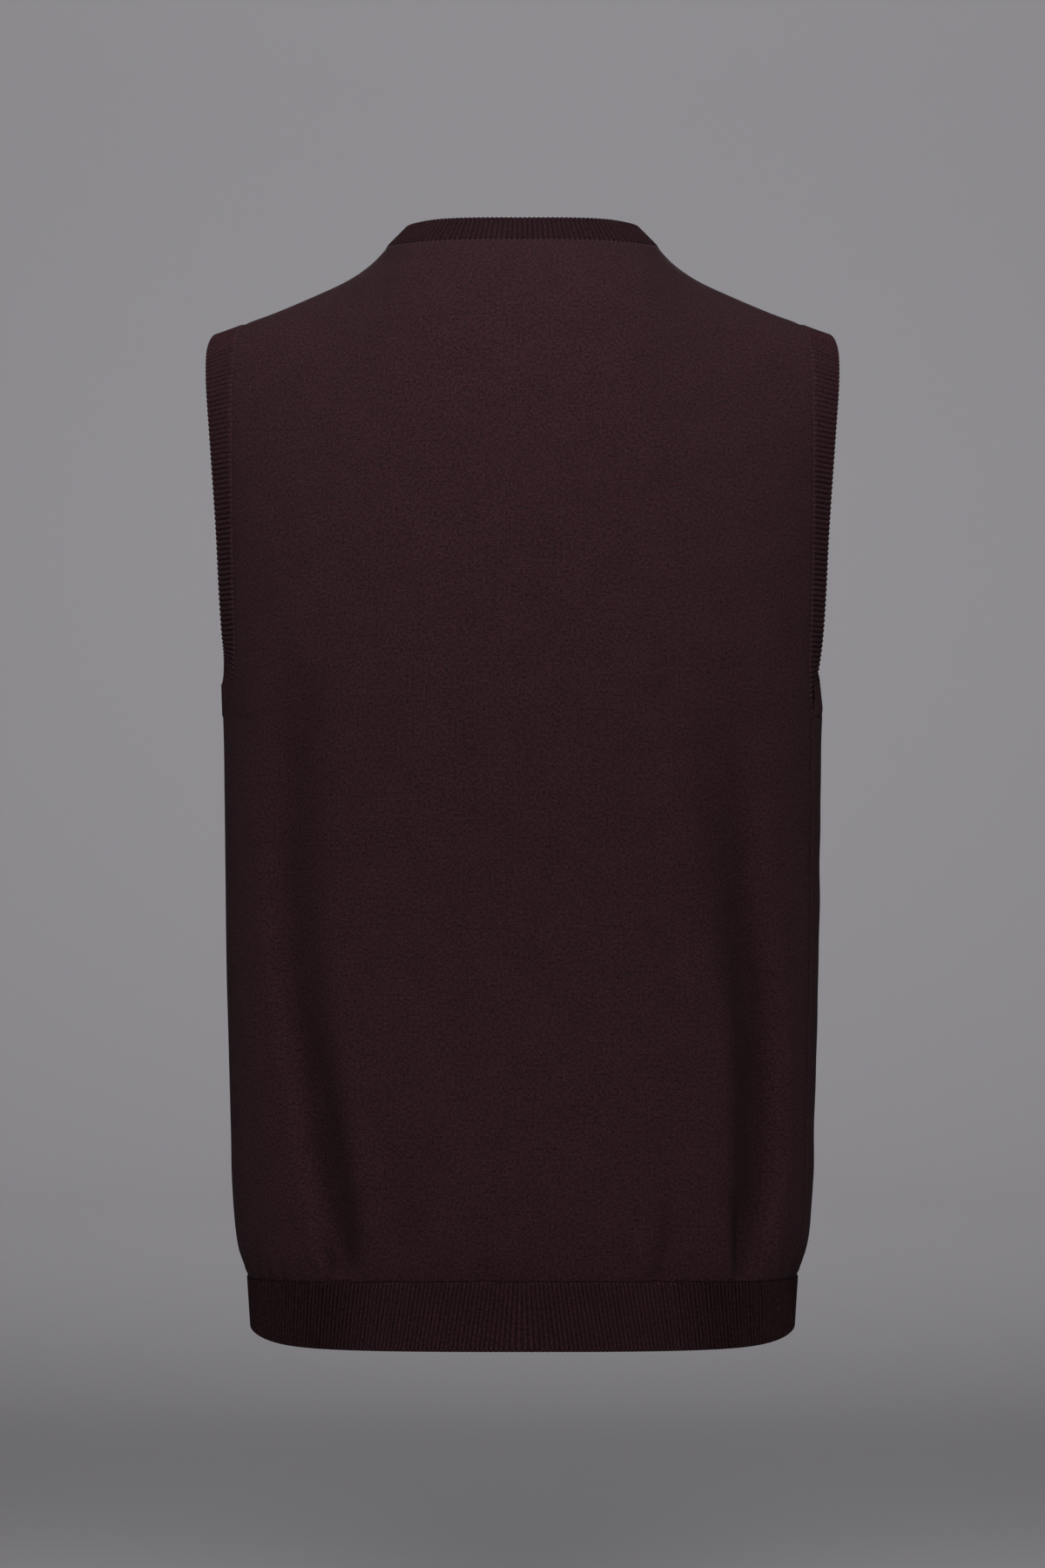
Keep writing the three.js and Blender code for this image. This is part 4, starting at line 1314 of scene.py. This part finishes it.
# %% Studio and lights
FLOOR_Z = -0.95
STUDIO_RADIUS = 6.0
STUDIO_BEND = 2.0
STUDIO_TOP_Z = 5.0
STUDIO_SIDES = 96
STUDIO_BEND_STEPS = 25
STUDIO_CENTRE_RADIUS = 0.01


def round_studio():
    bend = np.linspace(0, math.pi / 2, STUDIO_BEND_STEPS)
    radius = np.concatenate([
        [STUDIO_CENTRE_RADIUS],
        STUDIO_RADIUS - STUDIO_BEND + STUDIO_BEND * np.sin(bend),
        [STUDIO_RADIUS],
    ])
    height = np.concatenate([
        [FLOOR_Z], FLOOR_Z + STUDIO_BEND * (1 - np.cos(bend)), [STUDIO_TOP_Z]])
    turns = np.linspace(0, 2 * math.pi, STUDIO_SIDES, endpoint=False)
    vertices = [
        (r * math.cos(turn), r * math.sin(turn), z)
        for r, z in zip(radius, height) for turn in turns
    ]
    faces = [
        tuple(ring * STUDIO_SIDES + k for k in (
            i, (i + 1) % STUDIO_SIDES, (i + 1) % STUDIO_SIDES + STUDIO_SIDES, i + STUDIO_SIDES))
        for ring in range(len(radius) - 1) for i in range(STUDIO_SIDES)
    ]
    faces.append(tuple(reversed(range(STUDIO_SIDES))))
    mesh = bpy.data.meshes.new("paper_studio")
    mesh.from_pydata(vertices, [], faces)
    mesh.polygons.foreach_set("use_smooth", np.ones(len(faces), bool))
    studio = bpy.data.objects.new("paper_studio", mesh)
    bpy.context.collection.objects.link(studio)
    return studio


def matt_paper():
    material, tree = new_material("matt_paper")
    shader = add(tree, "ShaderNodeBsdfPrincipled",
                 {"Base Color": colour("#c9c7cb"), "Roughness": 0.9, "Specular IOR Level": 0.2})
    add(tree, "ShaderNodeOutputMaterial", {"Surface": shader.outputs[0]})
    return material


def soft_light(name, place, target, size, watts, spread):
    light = bpy.data.lights.new(name, "AREA")
    light.shape = "RECTANGLE"
    light.size, light.size_y = size
    light.energy = watts
    light.spread = math.radians(spread)
    lamp = bpy.data.objects.new(name, light)
    lamp.location = place
    lamp.visible_camera = False
    lamp.rotation_euler = (Vector(target) - Vector(place)).to_track_quat("-Z", "Y").to_euler()
    bpy.context.collection.objects.link(lamp)


floor = round_studio()
floor.data.materials.append(matt_paper())
soft_light("key", (0.0, -1.5, 1.0), (0, 0, 0.08), (1.1, 0.7), 3.2, 60)
soft_light("low", (0.0, -1.9, -0.72), (0, 0, -0.66), (0.5, 0.2), 0.2, 40)
soft_light("top", (0.0, 0.3, 3.2), (0, 0, 0), (2.0, 2.0), 2, 140)
soft_light("front", (0.0, 2.2, 0.4), (0, 0, -0.25), (1.2, 0.8), 5.0, 80)
soft_light("backdrop", (0.0, 1.6, 3.0), (0, 6.0, 0.2), (3.0, 0.8), 50, 130)
soft_light("far_wall", (0.0, -1.6, 3.0), (0, -6.0, 0.2), (3.0, 0.8), 30, 130)

world = bpy.data.worlds.new("studio")
world.use_nodes = True
world.node_tree.nodes["Background"].inputs["Color"].default_value = colour("#dcdbdd")
world.node_tree.nodes["Background"].inputs["Strength"].default_value = 0.05
bpy.context.scene.world = world
bpy.context.scene.view_settings.view_transform = "Standard"
print("studio and lights are up")
